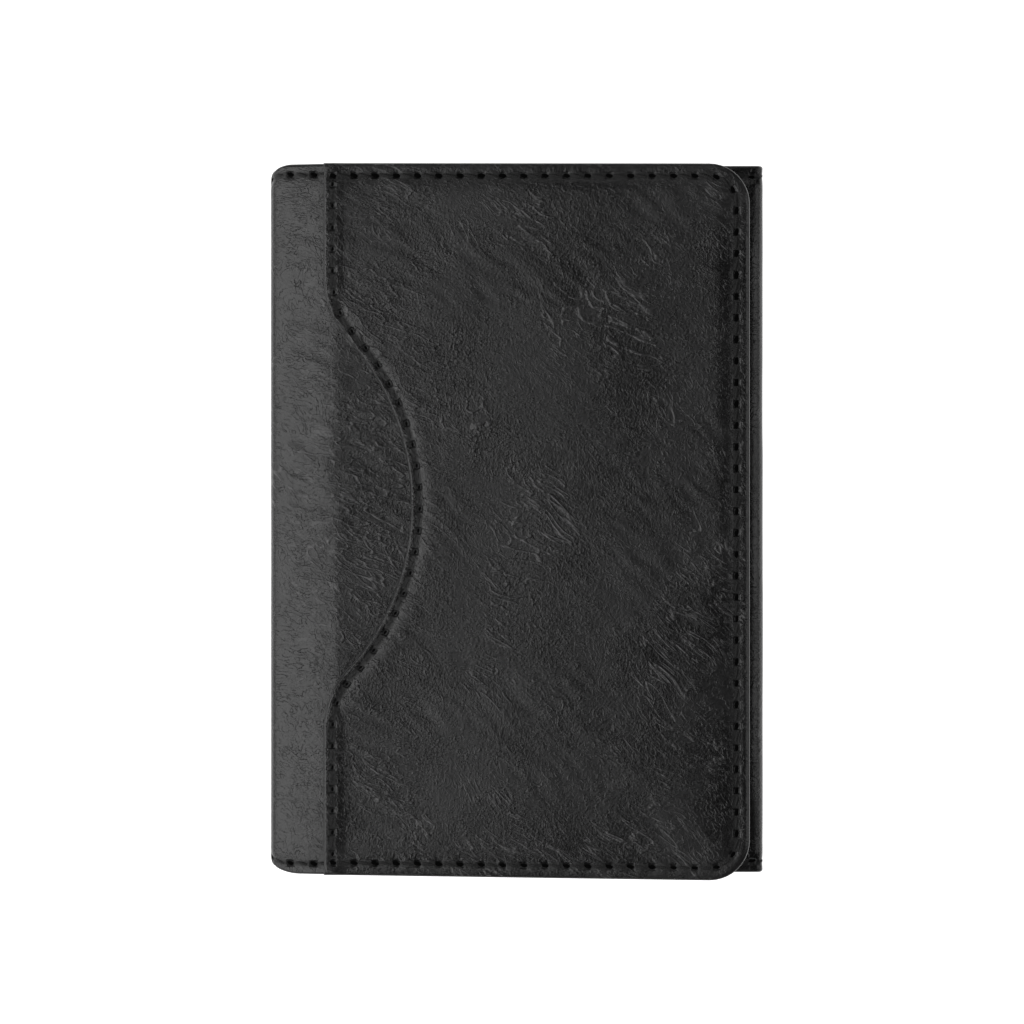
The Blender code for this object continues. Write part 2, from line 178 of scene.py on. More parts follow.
@dataclass(frozen=True)
class Layers:
    """Thicknesses, and depths below the outer leather's surface, in millimetres."""

    leather: float = 0.8
    slot: float = 0.5
    lining: float = 0.25
    pocket_lining: float = 0.2
    board: float = 0.4
    gap: float = 0.2
    pocket_gap: float = 0.3
    sewn_gap: float = 0.06

    @property
    def sewn_depth(self) -> float:
        """Depth of the lining's outer face where it is sewn down on the leather."""
        return self.leather + self.sewn_gap

    @property
    def lining_depth(self) -> float:
        """Depth of the lining's outer face."""
        return self.leather + self.board + 2 * self.gap

    @property
    def slot_depth(self) -> float:
        """Depth of the first card slot's outer face."""
        return self.lining_depth + self.lining + self.gap

    @property
    def pocket_floor(self) -> float:
        """Height of the outer pocket's inner face above the flap's leather."""
        return self.pocket_gap + self.pocket_lining + self.gap


LAYERS = Layers()


@dataclass(frozen=True)
class Shape:
    """Main sizes in millimetres, read from the frame where it states them."""

    left: float
    right: float
    half: float
    leaf_top: float
    crease_x: float
    crease_z: float
    flap_length: float
    leaf_edge: float
    flap_tilt: float = radians(5.4)
    spine_bend: float = 1.8
    overhang: float = 2.0
    corner: float = 5.6
    seam: float = 1.5
    flap_seam: float = 1.75
    mouth_seam: float = 1.3
    pitch: float = 3.0
    leaf_inset: float = 13.0

    @classmethod
    def from_frame(cls) -> "Shape":
        """Read the closed wallet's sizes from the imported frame."""
        _, high = (np.array(corner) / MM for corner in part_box("back_shell"))
        tilt = cls.flap_tilt
        _, flap_high = (np.array(corner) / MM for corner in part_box("flap_shell"))
        pocket_low, _ = (np.array(corner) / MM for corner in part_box("outer_pocket"))
        spine_low, _ = (np.array(corner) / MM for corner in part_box("spine_shell"))
        pocket_rise = LAYERS.pocket_floor + LAYERS.leather
        crease_x = pocket_low[0] + cls.overhang * cos(tilt) + pocket_rise * sin(tilt)
        length = (flap_high[0] - LAYERS.leather * sin(tilt) - crease_x) / cos(tilt)
        return cls(left=spine_low[0], right=high[0], half=high[1], leaf_top=high[2],
                   crease_x=crease_x, crease_z=flap_high[2] - length * sin(tilt), flap_length=length,
                   leaf_edge=spine_low[0] + cls.leaf_inset)


SHAPE = Shape.from_frame()


@dataclass
class Bend:
    """One straight or one bend of the outer leather, seen from the bottom edge of the wallet."""

    start: tuple[float, float]
    heading: float
    length: float
    turn: float

    def at(self, distance: Grid, depth: Grid) -> tuple[Grid, Grid]:
        """Points at distances along the outer surface and depths below it."""
        if abs(self.turn) < 1e-9:
            x = self.start[0] + distance * cos(self.heading) + depth * sin(self.heading)
            z = self.start[1] + distance * sin(self.heading) - depth * cos(self.heading)
            return x, z
        radius = self.length / self.turn
        side = self.heading + pi / 2
        angle = side - distance / radius
        x = self.start[0] - radius * cos(side) + (radius - depth) * np.cos(angle)
        z = self.start[1] - radius * sin(side) + (radius - depth) * np.sin(angle)
        return x, z


@dataclass
class Profile:
    """The outer leather from the middle of the spine wall, over the crease, to the flap's end.

    Distances are measured along the outer surface and are 0 at the crease.
    """

    bends: list[Bend] = field(default_factory=list)
    starts: list[float] = field(default_factory=list)
    wall_foot: float = 0.0

    # Each roll is a heading in degrees and the length, in millimetres, over which the leather
    # turns from it to the next one.
    ROLLS = ((90.0, 1.85), (30.0, 2.6), (16.0, 1.7), (13.4, 1.5), (12.8, 1.0), (5.4, 0.0))

    def __post_init__(self) -> None:
        """Lay out the bends so that they start at the spine and end at the crease."""
        turns = [radians(a[0] - b[0]) for a, b in zip(self.ROLLS, self.ROLLS[1:])]
        tip = (0.0, 0.0)
        made = []
        for (heading, length), turn in zip(self.ROLLS, turns):
            bend = Bend(tip, radians(heading), length, turn)
            made.append(bend)
            x, z = bend.at(np.array(length), np.array(0.0))
            tip = (float(x), float(z))
        reach = SHAPE.crease_x - SHAPE.left
        spare = (reach - tip[0]) / cos(radians(self.ROLLS[2][0]))
        drop = tip[1] + spare * sin(radians(self.ROLLS[2][0]))
        base = (SHAPE.left, SHAPE.crease_z - drop)
        self.wall_foot = base[1]
        total = sum(bend.length for bend in made) + spare
        travelled = -total
        tip = base
        for index, bend in enumerate(made):
            if index == 2:
                slope = Bend(tip, bend.heading, spare, 0.0)
                self.add(slope, travelled)
                travelled += spare
                tip = self.end_of(slope)
            moved = Bend(tip, bend.heading, bend.length, bend.turn)
            self.add(moved, travelled)
            travelled += bend.length
            tip = self.end_of(moved)
        flap = Bend(tip, SHAPE.flap_tilt, SHAPE.flap_length, 0.0)
        self.add(flap, 0.0)

    def add(self, bend: Bend, start: float) -> None:
        """Add one bend that starts at a distance."""
        self.bends.append(bend)
        self.starts.append(start)

    @staticmethod
    def end_of(bend: Bend) -> tuple[float, float]:
        """End of a bend on the outer surface."""
        x, z = bend.at(np.array(bend.length), np.array(0.0))
        return float(x), float(z)

    @property
    def shoulder(self) -> float:
        """Distance at which the spine wall ends and the leather starts to roll over."""
        return self.starts[0]

    def point(self, distance: Grid, depth: Grid) -> tuple[Grid, Grid]:
        """Points of the cross-section at distances from the crease and depths."""
        distance, depth = np.broadcast_arrays(distance, depth)
        x = np.full(distance.shape, SHAPE.left) + depth
        z = self.wall_foot + (distance - self.starts[0]) + 0.0 * depth
        for bend, start in zip(self.bends, self.starts):
            inside = distance >= start
            bx, bz = bend.at(distance - start, depth)
            x, z = np.where(inside, bx, x), np.where(inside, bz, z)
        return x, z


PROFILE = Profile()
WALL_MIDDLE = (PROFILE.wall_foot + SHAPE.spine_bend) / 2


@dataclass(frozen=True)
class Pull:
    """How far an end of the leather is drawn in at the spine, and over which width."""

    reach: float
    height: float


TOP_PULL = Pull(reach=3.0, height=1.75)
FOOT_PULL = Pull(reach=4.3, height=1.85)
PULL_FADE = 7.0
FLAP_SKEW = 0.0075


def end_pull(x: Grid, side: Grid) -> Grid:
    """How far the leather's ends are drawn in near the spine, in millimetres.

    Args:
        x: places across the wallet.
        side: 1 towards the top end, -1 towards the bottom end.

    Returns:
        Lengths that the end moves in.
    """
    reach = np.where(side > 0, TOP_PULL.reach, FOOT_PULL.reach)
    height = np.where(side > 0, TOP_PULL.height, FOOT_PULL.height)
    share = np.clip(1.0 - (x - SHAPE.left) / reach, 0.0, 1.0)
    return height * (1.0 - np.sqrt(1.0 - share ** 2))


def draw_in(x: Grid, y: Grid) -> Grid:
    """Move the leather's ends in near the spine, fading over the last millimetres."""
    side = np.sign(y)
    share = smooth(SHAPE.half - PULL_FADE, SHAPE.half, np.abs(y))
    return y - side * share * end_pull(x, side)


def skewed(u: Grid, y: Grid) -> Grid:
    """Places along the flap's end, which hangs a little low at the free edge."""
    return y - FLAP_SKEW * np.maximum(u, 0.0)


# ---------------------------------------------------------------------------------------------
# Where each layer lies
# ---------------------------------------------------------------------------------------------

def stack(x: Grid, y: Grid, z: Grid) -> Grid:
    """Join three coordinates into points."""
    return np.stack(np.broadcast_arrays(x, y, z), axis=-1)


BOARD_EDGE = 1.2
BOARD_TOP = 2.5


def stepped(distance: Grid, sewn: float, board: float, loose: float, end: float = 9.0) -> Grid:
    """Depth of a layer that is sewn flat at its edges, steps over a board and then lies loose.

    Args:
        distance: distance from the sewn edge.
        sewn: depth at the seam.
        board: depth where the board starts.
        loose: depth away from the edge.
        end: distance at which the layer is loose.

    Returns:
        Depth at each distance.
    """
    over = (board - sewn) * smooth(BOARD_EDGE, BOARD_TOP, distance)
    return sewn + over + (loose - board) * smooth(BOARD_TOP, end, distance)


@dataclass
class BackRun:
    """The outer leather from the middle of the spine wall, under the back, round into the leaf.

    Distances grow from 0 at the middle of the wall.  The fold is tighter where the leaf is sewn
    down, at the top and the bottom, so the lengths of the stretches follow the row.
    """

    sewn_top: float = 1.97
    board_top: float = 2.65

    def leaf_top(self, y: Grid) -> Grid:
        """Height of the leaf's upper face along the wallet."""
        return stepped(SHAPE.half - np.abs(y), self.sewn_top, self.board_top, SHAPE.leaf_top, 13.0)

    def marks(self, y: Grid) -> list[Grid]:
        """Distances where the wall, bend, back, fold and leaf end, on each row."""
        radius = self.leaf_top(y) / 2
        wall = WALL_MIDDLE - SHAPE.spine_bend + 0.0 * radius
        bend = wall + SHAPE.spine_bend * pi / 2
        back = bend + (SHAPE.right - radius) - (SHAPE.left + SHAPE.spine_bend)
        fold = back + pi * radius
        leaf = fold + (SHAPE.right - radius) - SHAPE.leaf_edge
        return [wall, bend, back, fold, leaf]

    def place(self, distance: Grid, y: Grid, depth: Grid) -> Grid:
        """Points at distances, rows and depths below the outer surface."""
        distance, y, depth = np.broadcast_arrays(distance, y, depth)
        radius = self.leaf_top(y) / 2
        wall, bend, back, fold, _ = self.marks(y)
        turn = (distance - wall) / SHAPE.spine_bend
        hub = SHAPE.left + SHAPE.spine_bend
        rest = SHAPE.spine_bend - depth
        swing = (distance - back) / radius
        x = np.select(
            [distance < wall, distance < bend, distance < back, distance < fold],
            [SHAPE.left + depth, hub - rest * np.cos(turn), hub + distance - bend,
             SHAPE.right - radius + (radius - depth) * np.sin(swing)],
            SHAPE.right - radius - (distance - fold))
        z = np.select(
            [distance < wall, distance < bend, distance < back, distance < fold],
            [WALL_MIDDLE - distance, SHAPE.spine_bend - rest * np.sin(turn), depth,
             radius - (radius - depth) * np.cos(swing)],
            2 * radius - depth)
        return stack(x, draw_in(x, y), z)


BACK_RUN = BackRun()


def front_place(u: Grid, y: Grid, depth: Grid) -> Grid:
    """Points of the outer leather from the spine wall to the flap's end."""
    x, z = PROFILE.point(u, depth)
    outer, _ = PROFILE.point(u, 0.0 * depth)
    return stack(x, skewed(u, draw_in(outer, y)), z)


def flap_place(u: Grid, y: Grid, depth: Grid) -> Grid:
    """Points of the flap's own plane, also past the crease."""
    tilt = SHAPE.flap_tilt
    x = SHAPE.crease_x + u * cos(tilt) + depth * sin(tilt)
    z = SHAPE.crease_z + u * sin(tilt) - depth * cos(tilt)
    return stack(x, skewed(u, y), z)


def run_on(parts: list[Grid]) -> Grid:
    """Join stretches of pattern places where each starts at the end of the one before."""
    return np.concatenate([parts[0], *(part[1:] for part in parts[1:])])


def rounded_edge(u: Grid, y: Grid, length: float, half: float, corner: float) -> Grid:
    """Distance from a place on a piece to its top, free and bottom edges, corners round.

    Args:
        u: place along the piece, towards its free edge.
        y: height on the wallet.
        length: place of the free edge.
        half: half the piece's height.
        corner: radius of the two corners.

    Returns:
        Distances, positive inside.
    """
    du = u - (length - corner)
    dy = np.abs(y) - (half - corner)
    outside = np.hypot(np.maximum(du, 0.0), np.maximum(dy, 0.0))
    return corner - outside - np.minimum(np.maximum(du, dy), 0.0)


def rounded_end(y: Grid, length: float, half: float, corner: float) -> Grid:
    """Place of the free edge on each row of a piece with round corners."""
    over = np.clip(np.abs(y) - (half - corner), 0.0, corner)
    return length - corner + np.sqrt(np.maximum(corner ** 2 - over ** 2, 0.0))


def flap_edge(u: Grid, y: Grid, inset: float = 0.0) -> Grid:
    """Distance from a place on the flap to its top, free and bottom edges.

    Args:
        u: distance from the crease.
        y: height on the wallet.
        inset: how much smaller all round the layer is.

    Returns:
        Distances, positive inside.
    """
    return rounded_edge(u, y, SHAPE.flap_length - inset, SHAPE.half - inset, SHAPE.corner - inset)


def flap_end(y: Grid, inset: float = 0.0) -> Grid:
    """Free end of a flap layer on each row."""
    return rounded_end(y, SHAPE.flap_length - inset, SHAPE.half - inset, SHAPE.corner - inset)


@dataclass(frozen=True)
class ThumbCut:
    """A pocket mouth: straight, with a wide arc between two shoulder arcs."""

    edge: float
    depth: float
    half_length: float
    shoulder: float
    rise: float = 0.0

    @property
    def reach(self) -> float:
        """Sum of the two radii."""
        return (self.half_length ** 2 + self.depth ** 2) / (2 * self.depth)

    @property
    def sweep(self) -> float:
        """Angle that each arc turns through."""
        return acos(1 - self.depth / self.reach)

    def at(self, y: Grid, inset: float = 0.0) -> Grid:
        """Place of the mouth on each row, moved into the pocket by an inset."""
        wide = self.reach - self.shoulder + inset
        tight = self.shoulder - inset
        off = np.abs(y - self.rise)
        knee = wide * sin(self.sweep)
        centre = self.depth - (self.reach - self.shoulder)
        middle = centre + np.sqrt(np.maximum(wide ** 2 - np.minimum(off, knee) ** 2, 0.0))
        away = np.clip(self.half_length - off, 0.0, tight)
        side = self.shoulder - np.sqrt(np.maximum(tight ** 2 - away ** 2, 0.0))
        return self.edge + np.where(off < knee, middle, side)

    def steepness(self, y: Grid) -> Grid:
        """Cosine of the mouth's slope on each row."""
        step = 0.05
        rise = (self.at(y + step) - self.at(y - step)) / (2 * step)
        return 1.0 / np.sqrt(1.0 + rise ** 2)


def slot_mouth(edge: float) -> ThumbCut:
    """Mouth of an inner card slot whose straight stretches lie at an edge."""
    return ThumbCut(edge, depth=5.0, half_length=16.0, shoulder=6.0)


OUTER_MOUTH = ThumbCut(-SHAPE.overhang, depth=12.3, half_length=31.9, shoulder=13.3, rise=2.1)
SLOT_REAR_MOUTH = slot_mouth(10.0)
SLOT_FRONT_MOUTH = slot_mouth(20.0)
SLOT_ROW_INSET = 1.3
SLOT_HOLE = 0.27 * MM


# ---------------------------------------------------------------------------------------------
# Seams
# ---------------------------------------------------------------------------------------------

FAR_AWAY = 9.0
PATH_STEP = 0.2
BATCH = 4000


@dataclass(frozen=True)
class Groove:
    """How a row of stitches draws its leather down, and the low swell beside it."""

    depth: float = 0.16
    width: float = 0.62
    even_pull: float = 0.7
    hole_pull: float = 0.3
    swell: float = 0.015
    swell_place: float = 1.7
    swell_width: float = 0.8


GROOVE = Groove()


@dataclass
class Seam:
    """One row of stitches along a path of a flat pattern."""

    path: Grid
    pitch: float = SHAPE.pitch
    lengths: Grid = field(init=False, repr=False)
    count: int = field(init=False, repr=False)

    def __post_init__(self) -> None:
        """Measure the path and fit a whole number of stitches to it."""
        steps = np.hypot(*np.diff(self.path, axis=0).T)
        self.lengths = np.concatenate([[0.0], np.cumsum(steps)])
        self.count = max(1, round(self.lengths[-1] / self.pitch))
        self.pitch = self.lengths[-1] / self.count

    def along(self, distances: Grid) -> Grid:
        """Places on the path at distances from its start."""
        u = np.interp(distances, self.lengths, self.path[:, 0])
        v = np.interp(distances, self.lengths, self.path[:, 1])
        return np.stack([u, v], axis=-1)

    def measure(self, u: Grid, v: Grid, reach: float = 2.6) -> Grid:
        """Distance from the seam and place along it, for each pattern place near it."""
        found = np.zeros(u.shape + (2,))
        found[..., 0] = FAR_AWAY
        places = self.along(np.arange(0.0, self.lengths[-1] + PATH_STEP / 2, PATH_STEP))
        low, high = places.min(axis=0) - reach, places.max(axis=0) + reach
        near = (u > low[0]) & (u < high[0]) & (v > low[1]) & (v < high[1])
        spots = np.stack([u[near], v[near]], axis=-1)
        result = np.empty((len(spots), 2))
        for first in range(0, len(spots), BATCH):
            part = spots[first:first + BATCH]
            gaps = part[:, None] - places[None]
            apart = np.hypot(gaps[..., 0], gaps[..., 1])
            nearest = apart.argmin(axis=1)
            result[first:first + BATCH, 0] = apart[np.arange(len(part)), nearest]
            result[first:first + BATCH, 1] = nearest * PATH_STEP
        found[near] = result
        return found

    def sink(self, measured: Grid) -> Grid:
        """How far the leather is drawn down at the seam, more at the needle holes."""
        away, run = measured[..., 0], measured[..., 1]
        pull = GROOVE.even_pull + GROOVE.hole_pull * np.cos(2 * pi * run / self.pitch)
        swell = GROOVE.swell * np.exp(-((away - GROOVE.swell_place) / GROOVE.swell_width) ** 2)
        return GROOVE.depth * pull * np.exp(-(away / GROOVE.width) ** 2) - swell


def corner_path(start: float, inset: float, seam: float) -> Grid:
    """Path round the top, free end and bottom of a flap layer, from its start at the mouth."""
    corner = SHAPE.corner - inset - seam
    end = SHAPE.flap_length - inset - seam - corner
    high = SHAPE.half - inset - seam
    turns = np.linspace(0.0, pi / 2, 9)
    top = np.stack([end + corner * np.sin(turns), high - corner + corner * np.cos(turns)], axis=-1)
    bottom = top[::-1] * (1, -1)
    return np.concatenate([[(start, high)], top, bottom, [(start, -high)]])


def mouth_path(mouth: ThumbCut, inset: float, seam: float) -> Grid:
    """Path along a pocket mouth, from its bottom to its top."""
    high = SHAPE.half - inset
    y = np.linspace(-high, high, 400)
    return np.stack([mouth.at(y, seam), y], axis=-1)


# ---------------------------------------------------------------------------------------------
# Closed sheets
# ---------------------------------------------------------------------------------------------

INNER_SINK = 0.35
TOUCHING = 1e-6
SHARP_EDGE = radians(50.0)


@dataclass
class Sheet:
    """A closed sheet of leather or cloth over a grid of pattern places, in millimetres."""

    name: str
    u: Grid
    v: Grid
    rim: Grid
    thickness: float
    place: Place
    base: Grid | float = 0.0
    seams: tuple[Seam, ...] = ()
    relief: Grid | float = 0.0
    roll: Grid | float | None = None

    def depths(self) -> tuple[Grid, Grid]:
        """Depths of the outer and inner faces, which meet in a half round at the edges."""
        radius = self.thickness / 2
        roll = radius if self.roll is None else self.roll
        inward = np.clip(self.rim / roll, 0.0, 1.0)
        half = radius * np.sqrt(np.clip(1.0 - (1.0 - inward) ** 2, 0.0, 1.0))
        middle = self.base + self.relief + radius
        return middle - half, middle + half

    def build(self, finish: bpy.types.Material) -> bpy.types.Object:
        """Make the piece, with the pattern, rim and seam attributes that its finish reads."""
        sunk = sum((seam.sink(seam.measure(self.u, self.v)) for seam in self.seams), 0.0 * self.u)
        near, far = self.depths()
        outer = self.place(self.u, self.v, near + sunk)
        inner = self.place(self.u, self.v, far + INNER_SINK * sunk)
        rows, columns = self.u.shape
        count = rows * columns
        shared = (self.rim < TOUCHING).ravel()
        index = np.arange(count)
        below = np.where(shared, index, index + count)
        quads = self.quads(index.reshape(rows, columns))
        under = self.quads(below.reshape(rows, columns))[:, ::-1]
        sides = self.sides(index.reshape(rows, columns), below.reshape(rows, columns), shared)
        points = np.concatenate([outer.reshape(-1, 3), inner.reshape(-1, 3)]) * MM
        faces = [list(dict.fromkeys(face)) for face in np.concatenate([quads, under]).tolist() + sides]
        mesh = bpy.data.meshes.new(self.name)
        mesh.from_pydata(points, [], [face for face in faces if len(face) > 2])
        self.mark(mesh, near, far)
        made = finish_mesh(self.name, mesh)
        made.data.materials.append(finish)
        return made

    @staticmethod
    def quads(index: Grid) -> Grid:
        """Faces of a grid of vertex numbers."""
        corners = [index[:-1, :-1], index[1:, :-1], index[1:, 1:], index[:-1, 1:]]
        return np.stack(corners, axis=-1).reshape(-1, 4)

    @staticmethod
    def sides(top: Grid, low: Grid, shared: Grid) -> list[list[int]]:
        """Walls along the edges that are cut square."""
        loops = [(top[:, 0], low[:, 0], False), (top[:, -1], low[:, -1], True),
                 (top[0], low[0], True), (top[-1], low[-1], False)]
        made = []
        for upper, lower, turned in loops:
            for a, b, c, d in zip(upper[:-1], upper[1:], lower[1:], lower[:-1]):
                if shared[a] and shared[b]:
                    continue
                face = [int(a), int(b), int(c), int(d)]
                made.append(face[::-1] if turned else face)
        return made

    def mark(self, mesh: bpy.types.Mesh, near: Grid, far: Grid) -> None:
        """Write the attributes of the finishes on every vertex."""
        pattern = np.concatenate([stack(self.u, self.v, near).reshape(-1, 3),
                                  stack(self.u, self.v, far).reshape(-1, 3)])
        write_vectors(mesh, "pattern", pattern)
        rim = np.concatenate([self.rim.ravel(), self.rim.ravel()])
        attribute = mesh.attributes.new("rim", "FLOAT", "POINT")
        attribute.data.foreach_set("value", rim.astype(np.float32))
        nearest = np.zeros(self.u.shape + (2,))
        nearest[..., 0] = FAR_AWAY
        pitch = np.full(self.u.shape, SHAPE.pitch)
        for seam in self.seams:
            measured = seam.measure(self.u, self.v)
            closer = measured[..., 0] < nearest[..., 0]
            nearest[closer] = measured[closer]
            pitch[closer] = seam.pitch
        marked = stack(nearest[..., 0], nearest[..., 1] / pitch, 0.0 * pitch).reshape(-1, 3)
        write_vectors(mesh, "seam", np.concatenate([marked, marked]))


def write_vectors(mesh: bpy.types.Mesh, name: str, values: Grid) -> None:
    """Store one vector for each vertex."""
    attribute = mesh.attributes.new(name, "FLOAT_VECTOR", "POINT")
    attribute.data.foreach_set("vector", values.astype(np.float32).ravel())


def finish_mesh(name: str, mesh: bpy.types.Mesh) -> bpy.types.Object:
    """Drop a closed mesh's loose points, turn it right side out, shade it smooth and put it in the scene.
    """
    bm = bmesh.new()
    bm.from_mesh(mesh)
    loose = [vertex for vertex in bm.verts if not vertex.link_faces]
    bmesh.ops.delete(bm, geom=loose, context="VERTS")
    bmesh.ops.recalc_face_normals(bm, faces=bm.faces)
    if bm.calc_volume(signed=True) < 0:
        bmesh.ops.reverse_faces(bm, faces=bm.faces)
    open_edges = sum(1 for edge in bm.edges if len(edge.link_faces) != 2)
    bm.to_mesh(mesh)
    bm.free()
    mesh.shade_smooth()
    mesh.set_sharp_from_angle(angle=SHARP_EDGE)
    made = bpy.data.objects.new(name, mesh)
    bpy.context.scene.collection.objects.link(made)
    log.info("%s: %d faces, %d open edges", name, len(mesh.polygons), open_edges)
    return made


def grid_between(start: Grid, end: Grid, v: Grid, step: float, rims: tuple[float, float]) -> Grid:
    """Pattern places on each row between two edges, close together at the rounded ones.

    Args:
        start: first edge on each row.
        end: last edge on each row.
        v: the rows.
        step: spacing away from the edges.
        rims: radius of the rounding at each edge, 0 for a square cut.

    Returns:
        Grid of places, one row of the pattern in each column.
    """
    head = rim_steps(rims[0]) if rims[0] else [0.0]
    tail = rim_steps(rims[1]) if rims[1] else [0.0]
    widest = float((end - start).max())
    count = max(2, round((widest - head[-1] - tail[-1]) / step))
    shares = np.linspace(0.0, 1.0, count + 1)
    inner_start = start + head[-1]
    inner_end = np.maximum(end - tail[-1], inner_start + 0.01)
    body = inner_start + shares[:, None] * (inner_end - inner_start)
    first = np.array([start + d for d in head[:-1]]).reshape(-1, len(v))
    last = np.array([end - d for d in reversed(tail[:-1])]).reshape(-1, len(v))
    return np.concatenate([first, body, last])


# ---------------------------------------------------------------------------------------------
# Node trees
# ---------------------------------------------------------------------------------------------

Socket = bpy.types.NodeSocket


@dataclass
class Wiring:
    """Adds nodes to a tree and joins them."""

    tree: bpy.types.NodeTree

    def add(self, kind: str, inputs: dict[str | int, object] | None = None,
            **settings: object) -> bpy.types.Node:
        """Add a node.

        Args:
            kind: the node's type.
            inputs: a socket to join or a value to set, by the input's name or place.
            settings: properties of the node.

        Returns:
            The node.
        """
        node = self.tree.nodes.new(kind)
        for name, value in settings.items():
            setattr(node, name, value)
        for name, value in (inputs or {}).items():
            if isinstance(value, bpy.types.NodeSocket):
                self.tree.links.new(value, node.inputs[name])
            else:
                node.inputs[name].default_value = value
        return node

    def math(self, operation: str, *values: Socket | float, clamp: bool = False) -> Socket:
        """Add a Math node and give its result."""
        inputs = dict(enumerate(values))
        return self.add("ShaderNodeMath", inputs, operation=operation, use_clamp=clamp).outputs[0]

    def vector(self, operation: str, *values: object) -> Socket:
        """Add a Vector Math node and give its vector."""
        return self.add("ShaderNodeVectorMath", dict(enumerate(values)), operation=operation).outputs[0]

    def ramp(self, value: Socket, low: float, high: float, start: float = 0.0, end: float = 1.0) -> Socket:
        """Ease a value from start at low to end at high."""
        inputs = {0: value, 1: low, 2: high, 3: start, 4: end}
        return self.add("ShaderNodeMapRange", inputs, interpolation_type="SMOOTHSTEP").outputs[0]

    def noise(self, place: Socket, scale: float, detail: float = 2.0, rough: float = 0.5,
              distortion: float = 0.0) -> Socket:
        """Add a noise, from 0 to 1."""
        inputs = {"Vector": place, "Scale": scale, "Detail": detail, "Roughness": rough,
                  "Distortion": distortion}
        return self.add("ShaderNodeTexNoise", inputs).outputs["Fac"]

    def stretched(self, place: Socket, heading: float, size: tuple[float, float]) -> Socket:
        """Draw a pattern out along a heading: size is its length and width."""
        inputs = {"Vector": place, "Rotation": (0.0, 0.0, heading), "Scale": (*size, 1.0)}
        return self.add("ShaderNodeMapping", inputs, vector_type="TEXTURE").outputs[0]

    def attribute(self, name: str) -> Socket:
        """Read a vector attribute of the piece."""
        return self.add("ShaderNodeAttribute", attribute_name=name).outputs["Vector"]

    def split(self, value: Socket) -> tuple[Socket, Socket, Socket]:
        """Split a vector."""
        node = self.add("ShaderNodeSeparateXYZ", {0: value})
        return node.outputs[0], node.outputs[1], node.outputs[2]

    def mixed(self, share: Socket | float, low: object, high: object, blend: str = "MIX") -> Socket:
        """Mix two colours, each given by a socket or by a value in four parts."""
        inputs = {"Factor": share, 6: low, 7: high}
        return self.add("ShaderNodeMix", inputs, data_type="RGBA", blend_type=blend).outputs[2]

    def colour(self, share: Socket, low: tuple, high: tuple) -> Socket:
        """Mix two colours that are given in three parts."""
        return self.mixed(share, (*low, 1.0), (*high, 1.0))

    def level(self, share: Socket, low: Socket | float, high: Socket | float) -> Socket:
        """Mix two numbers."""
        return self.add("ShaderNodeMix", {0: share, 2: low, 3: high}, data_type="FLOAT").outputs[0]

    def bump(self, height: Socket, strength: float = 1.0, normal: Socket | None = None) -> Socket:
        """Turn a height in millimetres into a normal."""
        inputs = {"Height": height, "Strength": strength, "Distance": MM}
        if normal is not None:
            inputs["Normal"] = normal
        return self.add("ShaderNodeBump", inputs).outputs[0]


def new_material(name: str) -> tuple[bpy.types.Material, Wiring, bpy.types.Node]:
    """Start a material and give its wiring and its shader."""
    material = bpy.data.materials.new(name)
    material.use_nodes = True
    wiring = Wiring(material.node_tree)
    return material, wiring, material.node_tree.nodes["Principled BSDF"]


def uniform(shader: bpy.types.Node, **values: object) -> None:
    """Set values that are the same all over a surface on the shader's own sockets."""
    for name, value in values.items():
        shader.inputs[name.replace("_", " ")].default_value = value


@dataclass(frozen=True)
class Creasing:
    """One kind of crease: its heading, how drawn out, how dense and how high it is."""

    heading: float
    stretch: tuple[float, float]
    scale: float
    height: float


CRACKLE = Creasing(radians(-28.0), (1.5, 1.0), 1.7, 0.034)
SLANTED = Creasing(radians(-40.0), (3.4, 1.0), 0.95, 0.085)
LEVEL = Creasing(radians(-14.0), (3.2, 1.0), 0.95, 0.07)


